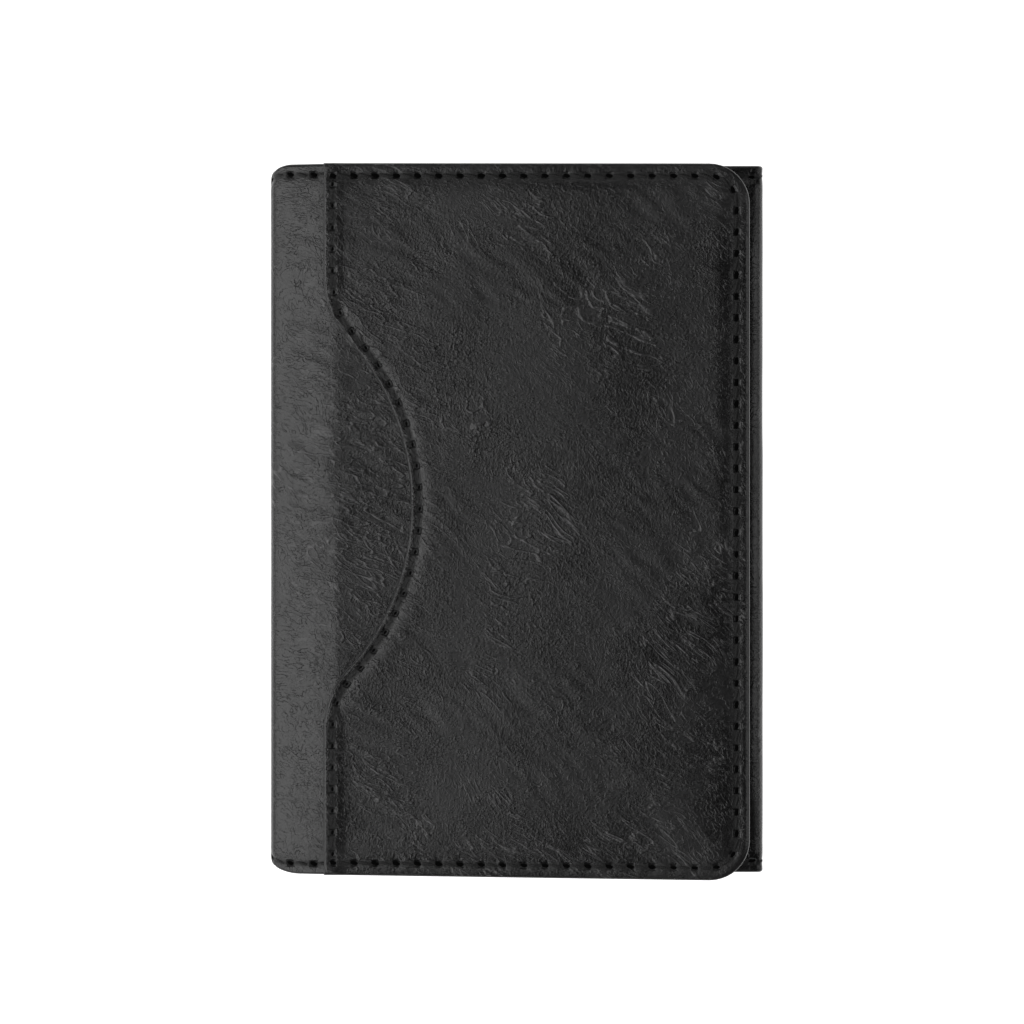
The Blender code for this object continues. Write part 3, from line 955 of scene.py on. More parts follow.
@dataclass(frozen=True)
class Leather:
    """Creased black leather with sunken seams and painted edges, wear and a painted highlight on its crease
    ridges, and painted shade along its seams.
    """

    RIM = (0.12, 0.4)
    STRIP_END = (-2.0, 1.0)
    NEAR_SPINE = (7.0, 20.0)
    OVER_ROLL = (-8.6, -5.0)
    FOLD_RISE = (62.0, 66.0)
    FOLD_FALL = (67.0, 70.0)
    MIDDLE_ROW = 7.0
    MIDDLE_FADE = (4.0, 30.0)
    DRIFT = (11.0, 11.0, 0.0)
    PAINT_ROUGHNESS = 0.32
    PRICK_DEPTH = 0.2

    name: str
    dark: tuple[float, float, float] = (0.0022, 0.0021, 0.0022)
    light: tuple[float, float, float] = (0.0085, 0.0083, 0.0086)
    # The third colour lightens the crease ridges: partly wear of the leather, partly a painted highlight of
    # light on the ridges.
    worn_highlight: tuple[float, float, float] = (0.0700, 0.0690, 0.0700)
    roughness: float = 0.26
    creases: float = 1.0
    # How strongly the ridges take that colour on the flap, and over the spine and strip: wear and painted
    # highlight.
    wear_highlight: float = 6.0
    spine_wear_highlight: float = 18.0
    pore_depth: float = 0.055
    shine: float = 0.5

    def make(self) -> bpy.types.Material:
        """Build the material."""
        material, wiring, shader = new_material(self.name)
        pattern = wiring.attribute("pattern")
        rim = wiring.add("ShaderNodeAttribute", attribute_name="rim").outputs["Fac"]
        away, phase, _ = wiring.split(wiring.attribute("seam"))
        inside = wiring.ramp(rim, *self.RIM)
        bent = self.bent(wiring, pattern)
        folds = wiring.math("ADD", self.slants(wiring, pattern, bent), self.wrinkles(wiring, pattern))
        folds = wiring.math("MULTIPLY", folds, inside)
        grain = wiring.math("MULTIPLY", self.grain(wiring, pattern, bent), inside)
        height = wiring.math("ADD", folds, grain)
        height = wiring.math("SUBTRACT", height, self.pricks(wiring, away, phase))
        patches = wiring.noise(pattern, 0.07, 3.0, 0.55)
        specks = wiring.noise(pattern, 2.4, 3.0, 0.6)
        tone = wiring.math("MULTIPLY_ADD", patches, 0.55, wiring.math("MULTIPLY", specks, 0.45))
        colour = wiring.colour(wiring.ramp(tone, 0.3, 0.7), self.dark, self.light)
        along, _, _ = wiring.split(pattern)
        # Painted highlight and wear: the crease ridges are lightened, three times as much over the spine
        # and strip.
        wear_highlight = wiring.ramp(along, *self.STRIP_END, self.spine_wear_highlight, self.wear_highlight)
        worn_highlight = wiring.math("MULTIPLY", folds, wear_highlight, clamp=True)
        colour = wiring.mixed(worn_highlight, colour, (*self.worn_highlight, 1.0))
        # Painted shade: the colour is darkened to a quarter along the stitch grooves and needle holes.
        colour = wiring.mixed(1.0, colour, wiring.ramp(away, 0.1, 0.7, 0.25, 1.0), "MULTIPLY")
        wiring.tree.links.new(colour, shader.inputs["Base Color"])
        rough = wiring.math("MULTIPLY_ADD", specks, 0.12, self.roughness - 0.06)
        rough = wiring.math("ADD", rough, wiring.ramp(away, 0.1, 0.6, 0.3, 0.0))
        rough = wiring.math("ADD", rough, wiring.ramp(patches, 0.35, 0.65, -0.045, 0.045))
        rough = wiring.level(inside, self.PAINT_ROUGHNESS, rough)
        wiring.tree.links.new(rough, shader.inputs["Roughness"])
        wiring.tree.links.new(wiring.bump(height), shader.inputs["Normal"])
        uniform(shader, Specular_IOR_Level=self.shine, IOR=1.48)
        return material

    def bent(self, wiring: Wiring, pattern: Socket) -> Socket:
        """The pattern's place drawn this way and that, so that lines change their heading."""
        inputs = {"Vector": pattern, "Scale": 0.06, "Detail": 1.0}
        drift = wiring.add("ShaderNodeTexNoise", inputs).outputs["Color"]
        drift = wiring.vector("SUBTRACT", drift, (0.5, 0.5, 0.5))
        drift = wiring.vector("MULTIPLY", drift, self.DRIFT)
        return wiring.vector("ADD", pattern, drift)

    def grain(self, wiring: Wiring, pattern: Socket, bent: Socket) -> Socket:
        """Fine crackle and pores, in millimetres."""
        lines = self.ridges(wiring, bent, CRACKLE)
        short = wiring.ramp(wiring.noise(pattern, 0.5, 3.0, 0.6), 0.38, 0.62, 0.2, 1.0)
        height = wiring.math("MULTIPLY", lines, short)
        height = wiring.math("MULTIPLY", height, CRACKLE.height * self.creases)
        pores = wiring.noise(pattern, 2.9, 3.0, 0.65)
        return wiring.math("MULTIPLY_ADD", pores, self.pore_depth, height)

    def slants(self, wiring: Wiring, pattern: Socket, bent: Socket) -> Socket:
        """Patches of slanting folds, in millimetres."""
        patch = wiring.ramp(wiring.noise(pattern, 0.055, 3.0, 0.6), 0.49, 0.62, 0.0, 1.0)
        broken = wiring.ramp(wiring.noise(pattern, 0.33, 3.0, 0.6), 0.4, 0.54)
        lines = self.ridges(wiring, bent, SLANTED)
        height = wiring.math("MULTIPLY", wiring.math("MULTIPLY", lines, patch), broken)
        return wiring.math("MULTIPLY", height, SLANTED.height * self.creases)

    def wrinkles(self, wiring: Wiring, pattern: Socket) -> Socket:
        """Creases that run across the folds, in millimetres."""
        along, across, _ = wiring.split(pattern)
        near = wiring.ramp(along, *self.NEAR_SPINE, 1.0, 0.0)
        spine = wiring.ramp(along, *self.OVER_ROLL, 0.0, 1.0)
        off = wiring.math("ABSOLUTE", wiring.math("SUBTRACT", across, self.MIDDLE_ROW))
        middle = wiring.ramp(off, *self.MIDDLE_FADE, 1.0, 0.5)
        streaks = wiring.noise(wiring.stretched(pattern, radians(-12.0), (5.0, 2.2)), 1.0, 2.0, 0.6)
        strength = wiring.math("MULTIPLY", wiring.math("MULTIPLY", near, spine), middle)
        fold = wiring.math("SUBTRACT", wiring.ramp(along, *self.FOLD_RISE),
                           wiring.ramp(along, *self.FOLD_FALL))
        strength = wiring.math("MAXIMUM", strength, wiring.math("MULTIPLY", fold, 0.6))
        strength = wiring.math("MULTIPLY", strength, wiring.ramp(streaks, 0.4, 0.56, 0.2, 1.0))
        strength = wiring.math("MULTIPLY", strength, wiring.ramp(along, *self.STRIP_END, 0.5, 1.0))
        height = wiring.math("MULTIPLY", self.ridges(wiring, pattern, LEVEL), strength)
        return wiring.math("MULTIPLY", height, LEVEL.height * self.creases)

    @staticmethod
    def ridges(wiring: Wiring, pattern: Socket, kind: Creasing) -> Socket:
        """Long thin ridges on flat ground, from 0 to 1."""
        drawn = wiring.stretched(pattern, kind.heading, kind.stretch)
        inputs = {"Vector": drawn, "Scale": kind.scale, "Detail": 1.0, "Roughness": 0.25,
                  "Lacunarity": 2.1, "Offset": 1.0, "Gain": 2.0, "Distortion": 0.5}
        folds = wiring.add("ShaderNodeTexNoise", inputs, noise_type="RIDGED_MULTIFRACTAL",
                           normalize=False).outputs["Fac"]
        return wiring.ramp(folds, 0.84, 1.25)

    def pricks(self, wiring: Wiring, away: Socket, phase: Socket) -> Socket:
        """Depth of the leather round each needle hole, in millimetres."""
        turn = wiring.math("FRACT", wiring.math("ADD", phase, 0.5))
        turn = wiring.math("ABSOLUTE", wiring.math("SUBTRACT", turn, 0.5))
        long = wiring.ramp(turn, 0.08, 0.2, 1.0, 0.0)
        wide = wiring.ramp(away, 0.2, 0.6, 1.0, 0.0)
        return wiring.math("MULTIPLY", wiring.math("MULTIPLY", long, wide), self.PRICK_DEPTH)


@dataclass(frozen=True)
class Cloth:
    """Plain woven cloth, or a twisted thread."""

    name: str
    weave: Weave
    dark: tuple[float, float, float]
    light: tuple[float, float, float]
    roughness: float = 0.7

    def make(self) -> bpy.types.Material:
        """Build the material."""
        material, wiring, shader = new_material(self.name)
        place = wiring.attribute("pattern")
        along, across, around = wiring.split(place)
        if self.weave is Weave.THREAD:
            twist = wiring.math("ADD", wiring.math("MULTIPLY", along, self.weave.value), around)
            height = wiring.math("SINE", wiring.math("MULTIPLY", twist, 2 * pi))
        else:
            warp = wiring.math("SINE", wiring.math("MULTIPLY", along, 2 * pi * self.weave.value))
            weft = wiring.math("SINE", wiring.math("MULTIPLY", across, 2 * pi * self.weave.value))
            height = wiring.math("MULTIPLY", warp, weft)
        share = wiring.math("MULTIPLY_ADD", height, 0.5, 0.5)
        uneven = wiring.noise(place, 0.6, 3.0, 0.6)
        share = wiring.math("MULTIPLY", share, wiring.ramp(uneven, 0.2, 0.8, 0.55, 1.0))
        wiring.tree.links.new(wiring.colour(share, self.dark, self.light), shader.inputs["Base Color"])
        rough = wiring.math("MULTIPLY_ADD", uneven, 0.2, self.roughness - 0.1)
        wiring.tree.links.new(rough, shader.inputs["Roughness"])
        wiring.tree.links.new(wiring.bump(wiring.math("MULTIPLY", height, 0.02)), shader.inputs["Normal"])
        uniform(shader, Sheen_Weight=0.12, Sheen_Roughness=0.4, Specular_IOR_Level=0.35)
        return material


@dataclass(frozen=True)
class HoleShade:
    """Painted shade of a needle hole: a dull black lens in place of the shadow inside the hole."""

    name: str = "needle hole"

    def make(self) -> bpy.types.Material:
        """Build the material."""
        material, wiring, shader = new_material(self.name)
        place = wiring.add("ShaderNodeTexCoord").outputs["Object"]
        fuzz = wiring.noise(place, 2500.0, 2.0, 0.6)
        wiring.tree.links.new(wiring.colour(fuzz, (0.0003, 0.0003, 0.0003), (0.0015, 0.0015, 0.0015)),
                              shader.inputs["Base Color"])
        uniform(shader, Roughness=1.0, Specular_IOR_Level=0.08)
        return material


@dataclass(frozen=True)
class FibreBoard:
    """Pressed grey fibre board."""

    name: str = "fibre board"

    def make(self) -> bpy.types.Material:
        """Build the material."""
        material, wiring, shader = new_material(self.name)
        place = wiring.add("ShaderNodeTexCoord").outputs["Object"]
        fibres = wiring.noise(wiring.stretched(place, radians(20.0), (3.0, 1.0)), 900.0, 4.0, 0.7)
        wiring.tree.links.new(wiring.colour(fibres, (0.09, 0.085, 0.08), (0.2, 0.19, 0.175)),
                              shader.inputs["Base Color"])
        wiring.tree.links.new(wiring.math("MULTIPLY_ADD", fibres, 0.2, 0.7), shader.inputs["Roughness"])
        wiring.tree.links.new(wiring.bump(wiring.math("MULTIPLY", fibres, 0.03)), shader.inputs["Normal"])
        uniform(shader, Specular_IOR_Level=0.25)
        return material


@dataclass(frozen=True)
class Tabletop:
    """Smooth white paper under the wallet, lit from behind."""

    name: str = "white paper"
    glow: float = 0.9

    def make(self) -> bpy.types.Material:
        """Build the material."""
        material, wiring, shader = new_material(self.name)
        place = wiring.add("ShaderNodeTexCoord").outputs["Object"]
        tone = wiring.noise(place, 40.0, 2.0, 0.5)
        white = wiring.colour(tone, (0.9, 0.9, 0.9), (0.92, 0.92, 0.92))
        wiring.tree.links.new(white, shader.inputs["Base Color"])
        uniform(shader, Roughness=0.85, Specular_IOR_Level=0.2, Emission_Color=(1.0, 1.0, 1.0, 1.0),
                Emission_Strength=self.glow)
        return material


@dataclass
class Finishes:
    """Every material of the wallet."""

    shell: bpy.types.Material
    pocket: bpy.types.Material
    slots: bpy.types.Material
    lining: bpy.types.Material
    thread: bpy.types.Material
    # Painted shade of the needle holes.
    pit: bpy.types.Material
    board: bpy.types.Material
    floor: bpy.types.Material

    @classmethod
    def make(cls) -> "Finishes":
        """Build them all."""
        return cls(
            shell=Leather("shell leather").make(),
            pocket=Leather("pocket leather").make(),
            slots=Leather("slot leather", roughness=0.5, creases=0.5).make(),
            lining=Cloth("lining cloth", Weave.LINING, dark=(0.006, 0.006, 0.0065),
                         light=(0.02, 0.02, 0.021)).make(),
            thread=Cloth("thread", Weave.THREAD, dark=(0.002, 0.002, 0.002), light=(0.009, 0.009, 0.009),
                         roughness=0.6).make(),
            pit=HoleShade().make(),
            board=FibreBoard().make(),
            floor=Tabletop().make(),
        )


# ---------------------------------------------------------------------------------------------
# Stitches
# ---------------------------------------------------------------------------------------------

class StitchRow:
    """Geometry Nodes tree that sets a bent thread between each two needle holes of a path, and a black lens
    of painted shade at each hole.
    """

    INPUTS = (("Stitches", "NodeSocketInt", 10), ("Length", "NodeSocketFloat", 2.2 * MM),
              ("Width", "NodeSocketFloat", 0.5 * MM), ("Height", "NodeSocketFloat", 0.3 * MM),
              ("Rise", "NodeSocketFloat", 0.02 * MM), ("Dip", "NodeSocketFloat", 0.2 * MM),
              ("Hole", "NodeSocketFloat", 0.36 * MM), ("Slant", "NodeSocketFloat", -0.2),
              ("Seed", "NodeSocketInt", 3), ("Thread", "NodeSocketMaterial", None),
              ("HoleShade", "NodeSocketMaterial", None))
    FIRST_SEED = 3

    def __init__(self) -> None:
        """Build the tree."""
        self.tree = bpy.data.node_groups.new("stitch row", "GeometryNodeTree")
        self.identifiers: dict[str, str] = {}
        face = self.tree.interface
        face.new_socket("Geometry", in_out="INPUT", socket_type="NodeSocketGeometry")
        for name, kind, value in self.INPUTS:
            made = face.new_socket(name, in_out="INPUT", socket_type=kind)
            self.identifiers[name] = made.identifier
            if value is not None:
                made.default_value = value
        face.new_socket("Geometry", in_out="OUTPUT", socket_type="NodeSocketGeometry")
        wiring = Wiring(self.tree)
        given = wiring.add("NodeGroupInput").outputs
        thread = self.thread(wiring, given)
        points = self.places(wiring, given)
        turned = self.turning(wiring, given)
        odd = wiring.math("MODULO", wiring.add("GeometryNodeInputIndex").outputs[0], 2.0)
        spread = wiring.add("GeometryNodeInstanceOnPoints",
                            {"Points": points, "Selection": odd, "Instance": thread, "Rotation": turned})
        even = wiring.math("SUBTRACT", 1.0, odd)
        # Painted shade: a black lens at each needle hole.
        pricked = wiring.add("GeometryNodeInstanceOnPoints",
                             {"Points": points, "Selection": even, "Instance": self.pit(wiring, given),
                              "Rotation": turned})
        dressed = [wiring.add("GeometryNodeSetMaterial",
                              {"Geometry": wiring.add("GeometryNodeRealizeInstances",
                                                      {"Geometry": made.outputs[0]}).outputs[0],
                               "Material": given[finish]})
                   for made, finish in ((spread, "Thread"), (pricked, "HoleShade"))]
        joined = wiring.add("GeometryNodeJoinGeometry")
        for part in dressed:
            self.tree.links.new(part.outputs[0], joined.inputs[0])
        wiring.add("NodeGroupOutput", {"Geometry": joined.outputs[0]})

    @staticmethod
    def pit(wiring: Wiring, given: bpy.types.NodeOutputs) -> Socket:
        """One needle hole: a low black lens a little longer than it is wide, painted shade of the hole."""
        ball = wiring.add("GeometryNodeMeshUVSphere", {"Segments": 10, "Rings": 6, "Radius": given["Hole"]})
        inputs = {"Geometry": ball.outputs[0], "Scale": (1.5, 0.85, 0.14)}
        return wiring.add("GeometryNodeTransform", inputs).outputs[0]

    @staticmethod
    def thread(wiring: Wiring, given: bpy.types.NodeOutputs) -> Socket:
        """One bent thread along X, its ends dipping into the holes."""
        half = wiring.math("MULTIPLY", given["Length"], 0.5)
        back = wiring.math("MULTIPLY", half, -1.0)
        low = wiring.math("MULTIPLY", given["Dip"], -1.0)
        high = wiring.math("MULTIPLY_ADD", given["Rise"], 2.0, given["Dip"])
        start = wiring.add("ShaderNodeCombineXYZ", {0: back, 2: low}).outputs[0]
        middle = wiring.add("ShaderNodeCombineXYZ", {2: high}).outputs[0]
        end = wiring.add("ShaderNodeCombineXYZ", {0: half, 2: low}).outputs[0]
        arc = wiring.add("GeometryNodeCurveQuadraticBezier",
                         {"Resolution": 7, "Start": start, "Middle": middle, "End": end})
        radius = wiring.math("MULTIPLY", given["Height"], 0.5)
        ring = wiring.add("GeometryNodeCurvePrimitiveCircle", {"Resolution": 7, "Radius": radius})
        tube = wiring.add("GeometryNodeCurveToMesh",
                          {"Curve": arc.outputs[0], "Profile Curve": ring.outputs[0], "Fill Caps": True})
        flat = wiring.math("DIVIDE", given["Width"], given["Height"])
        size = wiring.add("ShaderNodeCombineXYZ", {0: 1.0, 1: flat, 2: 1.0}).outputs[0]
        wide = wiring.add("GeometryNodeTransform", {"Geometry": tube.outputs[0], "Scale": size})
        place = wiring.add("GeometryNodeInputPosition").outputs[0]
        scaled = wiring.vector("DIVIDE", place, (MM, MM, MM))
        x, y, z = wiring.split(scaled)
        around = wiring.math("DIVIDE", wiring.math("ARCTAN2", z, y), 2 * pi)
        twist = wiring.add("ShaderNodeCombineXYZ", {0: x, 1: y, 2: around}).outputs[0]
        return wiring.add("GeometryNodeStoreNamedAttribute",
                          {"Geometry": wide.outputs[0], "Name": "pattern", "Value": twist},
                          data_type="FLOAT_VECTOR", domain="POINT").outputs[0]

    @staticmethod
    def places(wiring: Wiring, given: bpy.types.NodeOutputs) -> Socket:
        """Points at the holes and half way between them."""
        curve = wiring.add("GeometryNodeMeshToCurve", {"Mesh": given["Geometry"]})
        count = wiring.math("MULTIPLY_ADD", given["Stitches"], 2.0, 1.0)
        inputs = {"Curve": curve.outputs[0], "Count": count}
        return wiring.add("GeometryNodeResampleCurve", inputs).outputs[0]

    @staticmethod
    def turning(wiring: Wiring, given: bpy.types.NodeOutputs) -> Socket:
        """Rotation along the row, a little aslant."""
        tangent = wiring.add("GeometryNodeInputTangent").outputs[0]
        along = wiring.add("FunctionNodeAlignRotationToVector", {"Vector": tangent},
                           axis="X", pivot_axis="Z")
        less = wiring.math("MULTIPLY", given["Slant"], 0.5)
        more = wiring.math("MULTIPLY", given["Slant"], 1.5)
        chance = wiring.add("FunctionNodeRandomValue", data_type="FLOAT")
        for name, value in (("Min", less), ("Max", more), ("Seed", given["Seed"])):
            socket = next(item for item in chance.inputs if item.name == name and item.enabled)
            wiring.tree.links.new(value, socket)
        angle = wiring.add("ShaderNodeCombineXYZ",
                           {2: next(item for item in chance.outputs if item.enabled)}).outputs[0]
        return wiring.add("FunctionNodeRotateRotation", {"Rotation": along.outputs[0], "Rotate By": angle},
                          rotation_space="LOCAL").outputs[0]

    def flat(self, path: Grid, inputs: dict[str, object]) -> bpy.types.Mesh:
        """Run the tree on one path of the flat pattern and give its plain mesh."""
        mesh = bpy.data.meshes.new("path")
        points = np.column_stack([path, np.zeros(len(path))]) * MM
        mesh.from_pydata(points, [(i, i + 1) for i in range(len(points) - 1)], [])
        carrier = bpy.data.objects.new("path", mesh)
        bpy.context.scene.collection.objects.link(carrier)
        modifier = carrier.modifiers.new("stitches", "NODES")
        modifier.node_group = self.tree
        for label, value in inputs.items():
            modifier[self.identifiers[label]] = value
        graph = bpy.context.evaluated_depsgraph_get()
        sewn = bpy.data.meshes.new_from_object(carrier.evaluated_get(graph))
        carrier.modifiers.remove(modifier)
        bpy.data.objects.remove(carrier)
        bpy.data.meshes.remove(mesh)
        return sewn

    def sew(self, name: str, rows: list["Row"], finishes: "Finishes", **sizes: float) -> bpy.types.Object:
        """Sew rows of stitches as one piece.

        Args:
            name: the piece's name.
            rows: the rows.
            finishes: the materials of the thread and of the needle holes' painted shade.
            sizes: inputs of the tree that differ from its own values.

        Returns:
            The finished piece.
        """
        merged = bmesh.new()
        for number, row in enumerate(rows):
            inputs = {"Stitches": row.count, "Seed": self.FIRST_SEED + number,
                      "Thread": finishes.thread, "HoleShade": finishes.pit, **sizes}
            sewn = self.flat(row.path, inputs)
            row.carry(sewn)
            places = np.zeros(len(sewn.polygons), dtype=np.int32)
            sewn.polygons.foreach_get("material_index", places)
            pits = [number for number, made in enumerate(sewn.materials) if made == finishes.pit]
            sewn.polygons.foreach_set("material_index", np.isin(places, pits).astype(np.int32))
            merged.from_mesh(sewn)
            bpy.data.meshes.remove(sewn)
        bmesh.ops.recalc_face_normals(merged, faces=merged.faces)
        mesh = bpy.data.meshes.new(name)
        merged.to_mesh(mesh)
        merged.free()
        mesh.materials.append(finishes.thread)
        mesh.materials.append(finishes.pit)
        mesh.shade_smooth()
        made = bpy.data.objects.new(name, mesh)
        bpy.context.scene.collection.objects.link(made)
        log.info("%s: %d faces", name, len(mesh.polygons))
        return made


@dataclass(frozen=True)
class Row:
    """A row of stitches in the flat pattern, and the profile that carries it onto the wallet."""

    seam: Seam
    place: Place
    depth: Callable[[Grid, Grid], Grid]
    inner: bool = False

    @property
    def path(self) -> Grid:
        """Even, close points of the seam."""
        return self.seam.along(np.linspace(0.0, self.seam.lengths[-1], max(80, self.seam.count * 6)))

    @property
    def count(self) -> int:
        """Number of stitches."""
        return self.seam.count

    def carry(self, mesh: bpy.types.Mesh) -> None:
        """Move flat stitches onto the wallet."""
        places = np.empty(len(mesh.vertices) * 3, dtype=np.float32)
        mesh.vertices.foreach_get("co", places)
        u, v, height = places.reshape(-1, 3).T.astype(float) / MM
        deep = self.depth(u, v) + (height if self.inner else -height)
        moved = self.place(u, v, deep) * MM
        mesh.vertices.foreach_set("co", moved.astype(np.float32).ravel())
        mesh.update()


# ---------------------------------------------------------------------------------------------
# Pieces
# ---------------------------------------------------------------------------------------------

def metres(x: float, z: float) -> tuple[float, float, float]:
    """A place of the cross-section, in metres."""
    return (x * MM, 0.0, z * MM)


@dataclass
class Crossing:
    """A joint of the leather, and the stretch over which the leather bends."""

    first: Body
    second: Body
    start: tuple[float, float]
    end: tuple[float, float]

    def join(self, piece: bpy.types.Object) -> None:
        """Bake a piece's transform into its mesh."""
        metres(*self.start)
        metres(*self.end)
        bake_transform(piece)


SEAM_DROP = 0.12
REAR_FOLD = Crossing(Body.BACK, Body.SPINE, (-33.2, 0.3), (-34.2, 2.2))
FRONT_FOLD = Crossing(Body.SPINE, Body.STRIP, (-34.4, 2.2), (-32.6, 4.6))
CREASE = Crossing(Body.STRIP, Body.FLAP, (-25.1, 6.4), (-22.4, 6.6))


def swells(pattern: Relief, u: Grid, v: Grid, height: float) -> Grid:
    """Broad and medium unevenness of a leather face."""
    broad = pattern.at(u, v, 23.0, 31.0)
    medium = pattern.at(u + 3.1 * broad, v, 7.0, 5.0)
    return height * (broad + 0.4 * medium)


def creases(pattern: Relief, u: Grid, v: Grid) -> Grid:
    """Nearly level folds of the leather near the spine, a millimetre or so apart."""
    bent = v + 0.25 * u + 0.6 * pattern.at(u, v, 3.4)
    near = 1.0 - smooth(6.0, 18.0, u)
    band = smooth(-8.4, -6.2, u)
    fine = pattern.at(u + 50.0, bent, 4.2, 0.55)
    coarse = pattern.at(u - 20.0, bent, 5.5, 1.25)
    middle = 0.55 + 0.45 * np.exp(-((v - 8.0) / 17.0) ** 2)
    return near * band * middle * (0.06 * fine + 0.085 * coarse)


def slants(pattern: Relief, u: Grid, v: Grid) -> Grid:
    """Patches of slanting folds over the rest of the flap."""
    bent = 0.8 * v + 0.6 * u + 0.7 * pattern.at(u, v, 4.1)
    patch = smooth(-0.1, 0.55, pattern.at(u - 70.0, v + 9.0, 15.0, 12.0))
    fine = pattern.at(0.25 * (0.8 * u - 0.6 * v), bent + 31.0, 1.0, 0.8)
    return smooth(4.0, 12.0, u) * (0.25 + 0.75 * patch) * 0.045 * fine


def rim_of(v: Grid, half: float) -> Grid:
    """Distance from the top or bottom edge of a straight piece."""
    return half - np.abs(v)


@dataclass
class BackCover:
    """Back leather with its inner leaf, the lining over its board, and the slot on the leaf."""

    finishes: Finishes
    stitcher: StitchRow
    step: float = 0.62
    lining_half: float = 49.5
    slot_half: float = 49.7
    slot_left: float = -12.0
    slot_right: float = 28.9
    corner_inset: float = 0.3
    wall_step: float = 0.3
    fold_step: float = 0.35
    lining_step: float = 0.9
    lining_tail: float = 0.3
    under_depth: float = 0.18
    under_ends: tuple[float, float] = (1.6, 1.2)
    leaf_ends: tuple[float, float] = (0.8, 1.0)
    surface: Relief = field(default_factory=lambda: Relief(11))

    def seam_rows(self) -> list[Seam]:
        """Rows on the underside and on the leaf, top and bottom."""
        high = SHAPE.half - SHAPE.seam
        middle = BACK_RUN.marks(np.array([high]))
        under = (float(middle[0][0]) + self.under_ends[0], float(middle[2][0]) - self.under_ends[1])
        leaf = (float(middle[2][0]) + self.leaf_ends[0], float(middle[4][0]) - self.leaf_ends[1])
        made = []
        for side in (1, -1):
            for start, end in (under, leaf):
                made.append(Seam(np.array([(start, side * high), (end, side * high)])))
        return made

    def leather(self) -> None:
        """Outer leather from the spine under the back and round into the leaf."""
        v = rows_between(-SHAPE.half, SHAPE.half, self.step, LAYERS.leather / 2)
        wall, bend, back, fold, leaf = BACK_RUN.marks(v)
        parts = [grid_between(0.0 * v, wall, v, self.wall_step, (0, 0)),
                 grid_between(wall, bend, v, self.wall_step, (0, 0)),
                 grid_between(bend, back, v, self.step, (0, 0)),
                 grid_between(back, fold, v, self.fold_step, (0, 0)),
                 grid_between(fold, leaf, v, self.step, (0, LAYERS.leather / 2))]
        u = run_on(parts)
        rows = np.broadcast_to(v, u.shape)
        rim = np.minimum(rim_of(rows, SHAPE.half), leaf - u)
        fade = smooth(0.0, 2.0, u) * smooth(0.3, 2.5, rim)
        relief = fade * np.maximum(swells(self.surface, u, rows, 0.06), -0.02)
        on_leaf = smooth(0.0, 1.0, u - back)
        relief = relief * (0.25 + 0.75 * on_leaf)
        piece = Sheet("back_leather", u, rows, rim, LAYERS.leather, BACK_RUN.place, 0.0,
                      tuple(self.seam_rows()), relief).build(self.finishes.shell)
        REAR_FOLD.join(piece)
        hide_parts("back_shell")

    def lining_depth(self, u: Grid, v: Grid) -> Grid:
        """Depth of the lining below the outer surface."""
        near = LAYERS.sewn_depth
        bend = BACK_RUN.marks(v)[1]
        over = stepped(rim_of(v, SHAPE.half), near, LAYERS.lining_depth, LAYERS.lining_depth)
        return near + (over - near) * smooth(0.2, 2.4, u - bend)

    def lining(self) -> None:
        """Cloth over the back board, from the spine to the fold."""
        v = rows_between(-self.lining_half, self.lining_half, self.step, LAYERS.lining / 2)
        wall, bend, back, _, _ = BACK_RUN.marks(v)
        end = back + self.lining_tail
        parts = [grid_between(0.0 * v, wall, v, self.wall_step, (0, 0)),
                 grid_between(wall, bend, v, self.wall_step, (0, 0)),
                 grid_between(bend, end, v, self.lining_step, (0, LAYERS.lining / 2))]
        u = run_on(parts)
        rows = np.broadcast_to(v, u.shape)
        rim = np.minimum(rim_of(rows, self.lining_half), end - u)
        base = self.lining_depth(u, rows)
        piece = Sheet("back_lining_cloth", u, rows, rim, LAYERS.lining, BACK_RUN.place,
                      base).build(self.finishes.lining)
        REAR_FOLD.join(piece)
        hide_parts("back_lining")

    @staticmethod
    def on_leaf(x: Grid, y: Grid, depth: Grid) -> Grid:
        """Places over the leaf, with depths measured down from its upper face."""
        return stack(x, y, BACK_RUN.leaf_top(y) - depth)

    def slot(self) -> None:
        """Card slot on the leaf."""
        mouth = slot_mouth(self.slot_left)
        corner = SHAPE.corner - self.corner_inset
        v = rows_between(-self.slot_half, self.slot_half, self.step, LAYERS.slot / 2)
        end = rounded_end(v, self.slot_right, self.slot_half, corner)
        u = grid_between(mouth.at(v), end, v, self.step, (LAYERS.slot / 2, LAYERS.slot / 2))
        rows = np.broadcast_to(v, u.shape)
        edge = rounded_edge(u, rows, self.slot_right, self.slot_half, corner)
        opening = (u - mouth.at(v)) * mouth.steepness(v)
        rim = np.minimum(edge, opening)
        lift = stepped(edge, 0.04, 0.12, LAYERS.gap)
        seams = (Seam(mouth_path(mouth, SLOT_ROW_INSET, SHAPE.mouth_seam)),)
        relief = smooth(0.4, 2.5, rim) * np.maximum(-swells(self.surface, u, rows, 0.05), -0.06)
        piece = Sheet("leaf_slot_leather", u, rows, rim, LAYERS.slot, self.on_leaf, -lift - LAYERS.slot,
                      seams, relief).build(self.finishes.slots)
        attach(piece, Body.BACK.value)
        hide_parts("leaf_slot")

